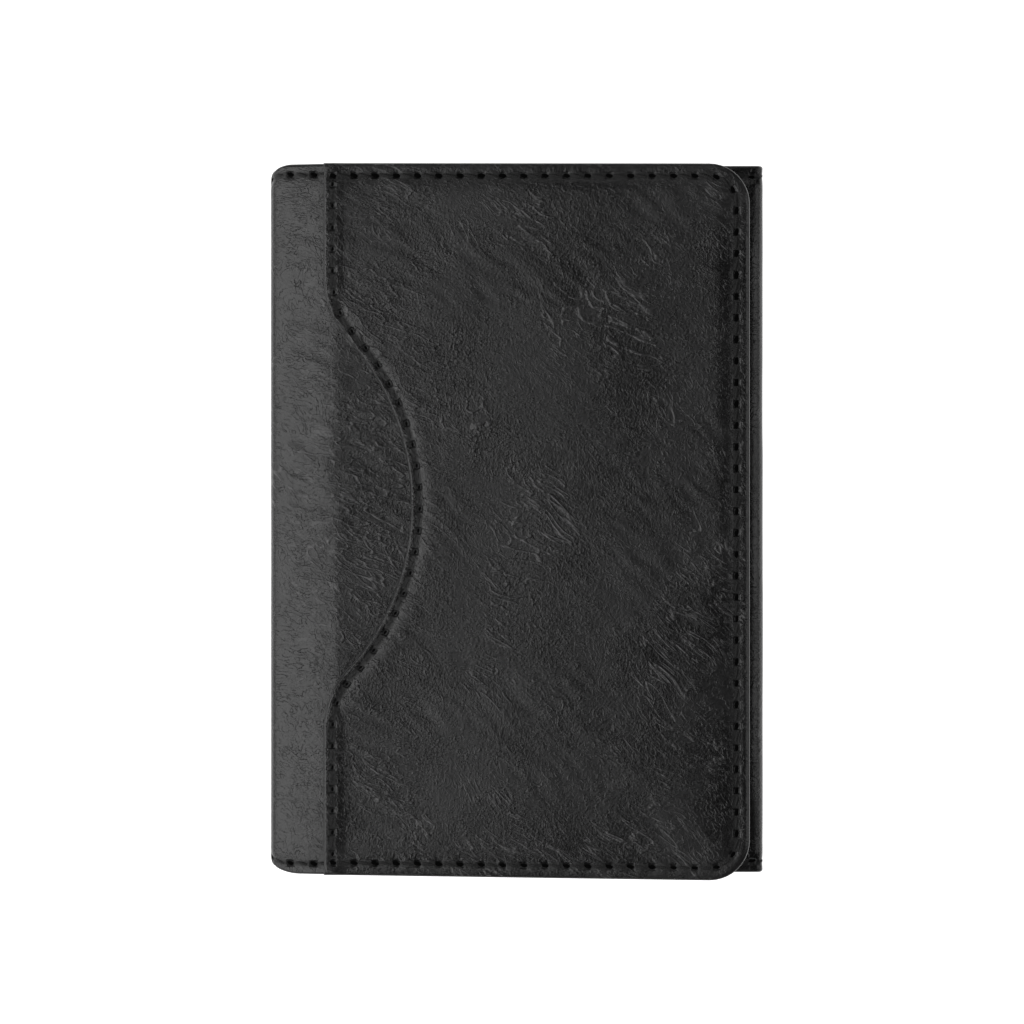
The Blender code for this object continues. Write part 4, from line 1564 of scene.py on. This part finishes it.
    def stitches(self) -> None:
        """Thread of the top and bottom rows, and of the slot's mouth."""
        names = ("back_stitches_top", "leaf_stitches_top", "back_stitches_bottom", "leaf_stitches_bottom")
        nodes = ("back_thread_top", "leaf_thread_top", "back_thread_bottom", "leaf_thread_bottom")
        for seam, name, node in zip(self.seam_rows(), names, nodes):
            under = "back" in name
            row = Row(seam, BACK_RUN.place, self.under_face if under else self.slot_face)
            low = {"Rise": -0.02 * MM} if under else {}
            piece = self.stitcher.sew(name, [row], self.finishes, **low)
            REAR_FOLD.join(piece)
            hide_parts(node)
        mouth = Seam(mouth_path(slot_mouth(self.slot_left), SLOT_ROW_INSET, SHAPE.mouth_seam))
        row = Row(mouth, self.on_leaf, self.mouth_face)
        piece = self.stitcher.sew("leaf_slot_stitches", [row], self.finishes, Hole=SLOT_HOLE)
        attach(piece, Body.BACK.value)
        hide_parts("leaf_slot_thread")

    def under_face(self, u: Grid, v: Grid) -> Grid:
        """Depth of the thread under the back, sunk so that the back still lies flat."""
        return self.under_depth + 0.0 * u

    @staticmethod
    def mouth_face(u: Grid, v: Grid) -> Grid:
        """Depth of the slot's mouth row, measured from the leaf."""
        return SEAM_DROP - LAYERS.gap - LAYERS.slot + 0.0 * u

    def slot_face(self, u: Grid, v: Grid) -> Grid:
        """Depth of the face that the leaf's rows lie on, over the slot where it covers the leaf."""
        fold = BACK_RUN.marks(v)[3]
        x = SHAPE.right - BACK_RUN.leaf_top(v) / 2 - (u - fold)
        over = smooth(self.slot_left - 0.2, self.slot_left, x)
        over = over * (1.0 - smooth(self.slot_right - 1.8, self.slot_right - 1.3, x))
        return SEAM_DROP - over * (LAYERS.slot + 0.04)

    def build(self) -> None:
        """Build every piece of the back."""
        self.leather()
        self.lining()
        self.slot()
        self.stitches()


@dataclass
class SpineAndStrip:
    """Leather and lining from the spine wall over the roll to the crease, with its end rows."""

    finishes: Finishes
    stitcher: StitchRow
    step: float = 0.3
    lining_half: float = 49.5
    surface: Relief = field(default_factory=lambda: Relief(5))

    @property
    def start(self) -> float:
        """Distance of the middle of the spine wall."""
        return PROFILE.shoulder - (PROFILE.wall_foot - WALL_MIDDLE)

    def seams(self) -> tuple[Seam, ...]:
        """Rows across the roll at both ends."""
        high = SHAPE.half - SHAPE.seam
        low = self.start + 0.9
        line = np.array([(low, high + 0.6), (low + 2.2, high + 0.2), (low + 4.0, high), (-0.2, high)])
        return tuple(Seam(line * (1, side)) for side in (1, -1))

    def leather(self) -> None:
        """Outer leather of the spine and the strip beside the pocket."""
        v = rows_between(-SHAPE.half, SHAPE.half, 0.4, LAYERS.leather / 2)
        u = grid_between(self.start + 0.0 * v, 0.0 * v, v, self.step, (0, 0))
        rows = np.broadcast_to(v, u.shape)
        rim = rim_of(rows, SHAPE.half)
        fade = smooth(0.3, 2.5, rim) * smooth(0.0, 1.5, u - self.start)
        relief = fade * (swells(self.surface, u, rows, 0.07) - creases(self.surface, u, rows))
        relief = relief * smooth(0.0, 2.4, -u)
        piece = Sheet("spine_leather", u, rows, rim, LAYERS.leather, front_place, 0.0, self.seams(),
                      relief).build(self.finishes.shell)
        FRONT_FOLD.join(piece)
        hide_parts("spine_shell", "strip_shell")

    def lining(self) -> None:
        """Cloth inside the spine and the strip."""
        v = rows_between(-self.lining_half, self.lining_half, 0.62, LAYERS.lining / 2)
        u = grid_between(self.start + 0.0 * v, 0.0 * v, v, 0.45, (0, 0))
        rows = np.broadcast_to(v, u.shape)
        rim = rim_of(rows, self.lining_half)
        piece = Sheet("spine_lining_cloth", u, rows, rim, LAYERS.lining, front_place,
                      LAYERS.sewn_depth).build(self.finishes.lining)
        FRONT_FOLD.join(piece)
        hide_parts("spine_lining", "strip_lining")

    @staticmethod
    def face(u: Grid, v: Grid) -> Grid:
        """Depth of the leather's face at a seam, drawn down by the thread."""
        return SEAM_DROP + 0.0 * u

    def stitches(self) -> None:
        """Thread of the two end rows."""
        for seam, side in zip(self.seams(), ("top", "bottom")):
            row = Row(seam, front_place, self.face)
            piece = self.stitcher.sew(f"spine_stitches_{side}", [row], self.finishes)
            FRONT_FOLD.join(piece)
            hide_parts(f"spine_thread_{side}", f"strip_thread_{side}")

    def build(self) -> None:
        """Build the roll."""
        self.leather()
        self.lining()
        self.stitches()


@dataclass
class FrontFlap:
    """Flap leather, its lining and its two card slots."""

    finishes: Finishes
    stitcher: StitchRow
    lining_inset: float = 0.5
    slot_inset: float = 0.3
    surface: Relief = field(default_factory=lambda: Relief(23))

    def leather(self) -> None:
        """Outer leather of the flap, seen at the thumb cut."""
        v = rows_between(-SHAPE.half, SHAPE.half, 0.42, LAYERS.leather / 2)
        seen = grid_between(0.0 * v, 15.0 + 0.0 * v, v, 0.36, (0, 0))
        hidden = grid_between(15.0 + 0.0 * v, flap_end(v), v, 1.1, (0, LAYERS.leather / 2))
        u = run_on([seen, hidden])
        rows = np.broadcast_to(v, u.shape)
        rim = flap_edge(u, rows)
        fade = smooth(0.3, 2.5, rim) * smooth(0.0, 2.4, u) * (1.0 - smooth(13.0, 18.0, u))
        raised = np.minimum(swells(self.surface, u, rows, 0.06), 0.09)
        relief = -fade * (raised + creases(self.surface, u, rows))
        piece = Sheet("flap_leather", u, rows, rim, LAYERS.leather, front_place, 0.0, (),
                      relief).build(self.finishes.shell)
        CREASE.join(piece)
        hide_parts("flap_shell")

    def lining(self) -> None:
        """Cloth over the flap board."""
        half = SHAPE.half - self.lining_inset
        v = rows_between(-half, half, 0.7, LAYERS.lining / 2)
        end = flap_end(v, self.lining_inset)
        u = grid_between(0.0 * v, end, v, 0.8, (0, LAYERS.lining / 2))
        rows = np.broadcast_to(v, u.shape)
        rim = flap_edge(u, rows, self.lining_inset)
        near = LAYERS.sewn_depth
        over = stepped(rim + self.lining_inset, near, LAYERS.lining_depth, LAYERS.lining_depth)
        base = near + (over - near) * smooth(0.0, 2.4, u)
        piece = Sheet("flap_lining_cloth", u, rows, rim, LAYERS.lining, front_place,
                      base).build(self.finishes.lining)
        CREASE.join(piece)
        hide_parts("flap_lining")

    def slot_base(self, margin: Grid, front: bool) -> Grid:
        """Depth of a card slot's outer face below the flap's surface."""
        over = LAYERS.slot + LAYERS.gap if front else 0.0
        sewn = LAYERS.sewn_depth + LAYERS.lining + 0.04 + (LAYERS.slot + 0.04 if front else 0.0)
        board = LAYERS.slot_depth - 0.12 + (LAYERS.slot + 0.06 if front else 0.0)
        return stepped(margin, sewn, board, LAYERS.slot_depth + over)

    def slot(self, mouth: ThumbCut, front: bool) -> None:
        """One card slot inside the flap."""
        name = "front" if front else "rear"
        half = SHAPE.half - self.slot_inset
        v = rows_between(-half, half, 0.6, LAYERS.slot / 2)
        end = flap_end(v, self.slot_inset)
        u = grid_between(mouth.at(v), end, v, 0.62, (LAYERS.slot / 2, LAYERS.slot / 2))
        rows = np.broadcast_to(v, u.shape)
        edge = flap_edge(u, rows, self.slot_inset)
        rim = np.minimum(edge, (u - mouth.at(v)) * mouth.steepness(v))
        base = self.slot_base(edge + self.slot_inset, front)
        pattern = Relief(31 if front else 37)
        relief = smooth(0.4, 2.5, rim) * np.minimum(np.abs(swells(pattern, u, rows, 0.05)), 0.1)
        seams = (Seam(mouth_path(mouth, SLOT_ROW_INSET, SHAPE.mouth_seam)),)
        piece = Sheet(f"flap_slot_{name}_leather", u, rows, rim, LAYERS.slot, flap_place, base, seams,
                      relief).build(self.finishes.slots)
        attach(piece, Body.FLAP.value)
        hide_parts(f"flap_slot_{name}")
        row = Row(seams[0], flap_place, partial(self.mouth_face, front=front), True)
        thread = self.stitcher.sew(f"flap_slot_stitches_{name}", [row], self.finishes, Hole=SLOT_HOLE)
        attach(thread, Body.FLAP.value)
        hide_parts(f"flap_slot_thread_{name}")

    def mouth_face(self, u: Grid, v: Grid, front: bool) -> Grid:
        """Depth of a slot's inner face along its mouth."""
        return self.slot_base(flap_edge(u, v), front) + LAYERS.slot + 0.02

    def build(self) -> None:
        """Build the flap."""
        self.leather()
        self.lining()
        self.slot(SLOT_REAR_MOUTH, False)
        self.slot(SLOT_FRONT_MOUTH, True)


@dataclass
class OuterPocket:
    """The pocket on the flap: thick leather with a thumb cut, lined, sewn round three sides."""

    finishes: Finishes
    stitcher: StitchRow
    step: float = 0.44
    sewn: float = 1.02
    hemmed: float = 1.32
    dome: float = 0.3
    edge_roll: float = 1.0
    mouth_roll: float = 0.45
    lining_inset: float = 0.5
    lining_setback: float = 1.9
    lift: float = 0.22
    lift_fade: tuple[float, float] = (-0.8, 1.0)
    dome_rise: tuple[float, float] = (6.0, 40.0)
    mouth_rise: float = 34.0
    edge_start: float = 1.2
    edge_reach: float = 5.0
    foot_reach: float = 5.0
    foot_fade: float = 30.0
    surface: Relief = field(default_factory=lambda: Relief(41))

    @property
    def perimeter(self) -> Seam:
        """Row round the top, free end and bottom."""
        return Seam(corner_path(OUTER_MOUTH.edge + SHAPE.mouth_seam, 0.0, SHAPE.flap_seam))

    @property
    def mouth_row(self) -> Seam:
        """Row along the mouth."""
        return Seam(mouth_path(OUTER_MOUTH, SHAPE.seam + 1.5, SHAPE.mouth_seam))

    def base(self, u: Grid, v: Grid) -> Grid:
        """Depth of the pocket's outer face, negative above the flap."""
        edge = flap_edge(u, v)
        opening = (u - OUTER_MOUTH.at(v)) * OUTER_MOUTH.steepness(v)
        loose = LAYERS.pocket_floor + LAYERS.leather + self.dome * smooth(*self.dome_rise, edge)
        top = self.hemmed + (loose - self.hemmed) * smooth(0.0, self.mouth_rise, opening)
        reach = self.edge_reach + self.foot_reach * smooth(0.0, self.foot_fade, -v)
        over_strip = self.lift * (1.0 - smooth(*self.lift_fade, u))
        return -(self.sewn + (top - self.sewn) * eased(self.edge_start, reach, edge) + over_strip)

    def leather(self) -> None:
        """Pocket leather."""
        v = rows_between(-SHAPE.half, SHAPE.half, self.step, self.edge_roll)
        mouth = OUTER_MOUTH.at(v)
        u = grid_between(mouth, flap_end(v), v, self.step, (self.mouth_roll, self.edge_roll))
        rows = np.broadcast_to(v, u.shape)
        edge = flap_edge(u, rows)
        opening = (u - mouth) * OUTER_MOUTH.steepness(v)
        rim = np.minimum(edge, opening)
        fade = smooth(0.5, 4.0, rim)
        folds = creases(self.surface, u, rows) + slants(self.surface, u, rows)
        relief = -fade * (swells(self.surface, u, rows, 0.09) + folds)
        roll = self.edge_roll + (self.mouth_roll - self.edge_roll) * smooth(0.0, 0.4, edge - opening)
        piece = Sheet("pocket_leather", u, rows, rim, LAYERS.leather, flap_place, self.base(u, rows),
                      (self.perimeter, self.mouth_row), relief, roll).build(self.finishes.pocket)
        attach(piece, Body.FLAP.value)
        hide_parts("outer_pocket")

    def lining(self) -> None:
        """Cloth inside the pocket leather."""
        half = SHAPE.half - self.lining_inset
        v = rows_between(-half, half, 0.7, LAYERS.pocket_lining / 2)
        end = flap_end(v, self.lining_inset)
        mouth = OUTER_MOUTH.at(v, self.lining_setback)
        u = grid_between(mouth, end, v, 0.8, (LAYERS.pocket_lining / 2, LAYERS.pocket_lining / 2))
        rows = np.broadcast_to(v, u.shape)
        edge = flap_edge(u, rows, self.lining_inset)
        opening = (u - mouth) * OUTER_MOUTH.steepness(v)
        rim = np.minimum(edge, opening)
        base = self.base(u, rows) + LAYERS.leather + LAYERS.gap * smooth(1.5, 6.0, rim)
        piece = Sheet("pocket_lining_cloth", u, rows, rim, LAYERS.pocket_lining, flap_place,
                      base).build(self.finishes.lining)
        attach(piece, Body.FLAP.value)
        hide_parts("outer_pocket_lining")

    def face(self, u: Grid, v: Grid) -> Grid:
        """Depth of the leather's face at a seam, drawn down by the thread."""
        return self.base(u, v) + SEAM_DROP

    def stitches(self) -> None:
        """Thread round the pocket and along its mouth."""
        outside, mouth = self.perimeter, self.mouth_row
        row = Row(outside, flap_place, self.face)
        inner = Row(outside, flap_place, self.inner_face, True)
        piece = self.stitcher.sew("flap_stitches", [row, inner], self.finishes)
        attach(piece, Body.FLAP.value)
        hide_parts("flap_thread")
        row = Row(mouth, flap_place, self.face)
        piece = self.stitcher.sew("pocket_mouth_stitches", [row], self.finishes, Hole=0.21 * MM,
                                  Rise=-0.04 * MM, Width=0.3 * MM)
        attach(piece, Body.FLAP.value)
        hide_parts("mouth_thread")

    @staticmethod
    def inner_face(u: Grid, v: Grid) -> Grid:
        """Depth of the innermost layer that the row round the flap comes out on."""
        lining = LAYERS.sewn_depth + LAYERS.lining
        over_rear = smooth(9.8, 10.2, u) * (LAYERS.slot + 0.05)
        over_front = smooth(19.8, 20.2, u) * (LAYERS.slot + 0.05)
        return lining + over_rear + over_front

    def build(self) -> None:
        """Build the pocket."""
        self.leather()
        self.lining()
        self.stitches()


def dress_boards(finishes: Finishes) -> None:
    """Give the two boards their finish."""
    for node in ("back_board", "flap_board"):
        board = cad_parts[node]
        for slot in board.material_slots:
            slot.material = finishes.board
        log.info("%s: fibre board", node)


# ---------------------------------------------------------------------------------------------
# Floor, light and camera
# ---------------------------------------------------------------------------------------------

@dataclass(frozen=True)
class Softbox:
    """A broad soft light that points at the wallet."""

    name: str
    place: tuple[float, float, float]
    size: tuple[float, float]
    power: float

    def build(self) -> None:
        """Set up the light."""
        data = bpy.data.lights.new(self.name, "AREA")
        data.shape = "RECTANGLE"
        data.size, data.size_y = self.size
        data.energy = self.power
        light = bpy.data.objects.new(self.name, data)
        light.location = self.place
        light.rotation_euler = (-Vector(self.place)).to_track_quat("-Z", "Y").to_euler()
        light.visible_camera = False
        bpy.context.scene.collection.objects.link(light)


@dataclass
class Studio:
    """White tabletop, softboxes and a camera straight above."""

    finishes: Finishes
    floor_half: float = 2.5
    camera_height: float = 0.7
    camera_place: tuple[float, float] = (-0.71 * MM, 0.99 * MM)
    lens: float = 173.4
    ambient: float = 0.04
    floor_height: float = -0.05 * MM
    lights: tuple[Softbox, ...] = (
        Softbox("left softbox", (-0.95, 0.0, 0.88), (0.8, 1.5), 10.0),
        Softbox("right softbox", (0.98, 0.05, 0.86), (0.7, 1.2), 3.4),
        Softbox("corner softbox", (-0.74, -0.84, 0.8), (0.7, 0.7), 5.0),
        Softbox("far softbox", (-0.2, 0.92, 0.92), (1.2, 0.5), 1.6),
    )

    def floor(self) -> None:
        """Lay the tabletop just under the wallet."""
        half, low = self.floor_half, self.floor_height
        corners = [(-half, -half, low), (half, -half, low), (half, half, low), (-half, half, low)]
        mesh = bpy.data.meshes.new("tabletop")
        mesh.from_pydata(corners, [], [(0, 1, 2, 3)])
        mesh.materials.append(self.finishes.floor)
        plane = bpy.data.objects.new("tabletop", mesh)
        bpy.context.scene.collection.objects.link(plane)

    def world(self) -> None:
        """Plain white surroundings."""
        world = bpy.data.worlds.new("studio")
        world.use_nodes = True
        background = world.node_tree.nodes["Background"]
        background.inputs["Color"].default_value = (1.0, 1.0, 1.0, 1.0)
        background.inputs["Strength"].default_value = self.ambient
        bpy.context.scene.world = world
        bpy.context.scene.view_settings.view_transform = "Standard"

    def camera(self) -> None:
        """Set the camera straight above the wallet."""
        data = bpy.data.cameras.new("camera")
        data.lens = self.lens
        data.sensor_width = 36.0
        data.clip_start, data.clip_end = 0.01, 20.0
        made = bpy.data.objects.new("camera", data)
        made.location = (*self.camera_place, self.camera_height)
        bpy.context.scene.collection.objects.link(made)
        bpy.context.scene.camera = made

    def build(self) -> None:
        """Build the studio."""
        self.floor()
        self.world()
        self.camera()
        for light in self.lights:
            light.build()


def main() -> None:
    """Build the wallet and its studio."""
    logging.basicConfig(level=logging.INFO, format="%(name)s: %(message)s")
    finishes = Finishes.make()
    stitcher = StitchRow()
    Studio(finishes).build()
    BackCover(finishes, stitcher).build()
    SpineAndStrip(finishes, stitcher).build()
    FrontFlap(finishes, stitcher).build()
    OuterPocket(finishes, stitcher).build()
    dress_boards(finishes)


if __name__ == "__main__":
    main()
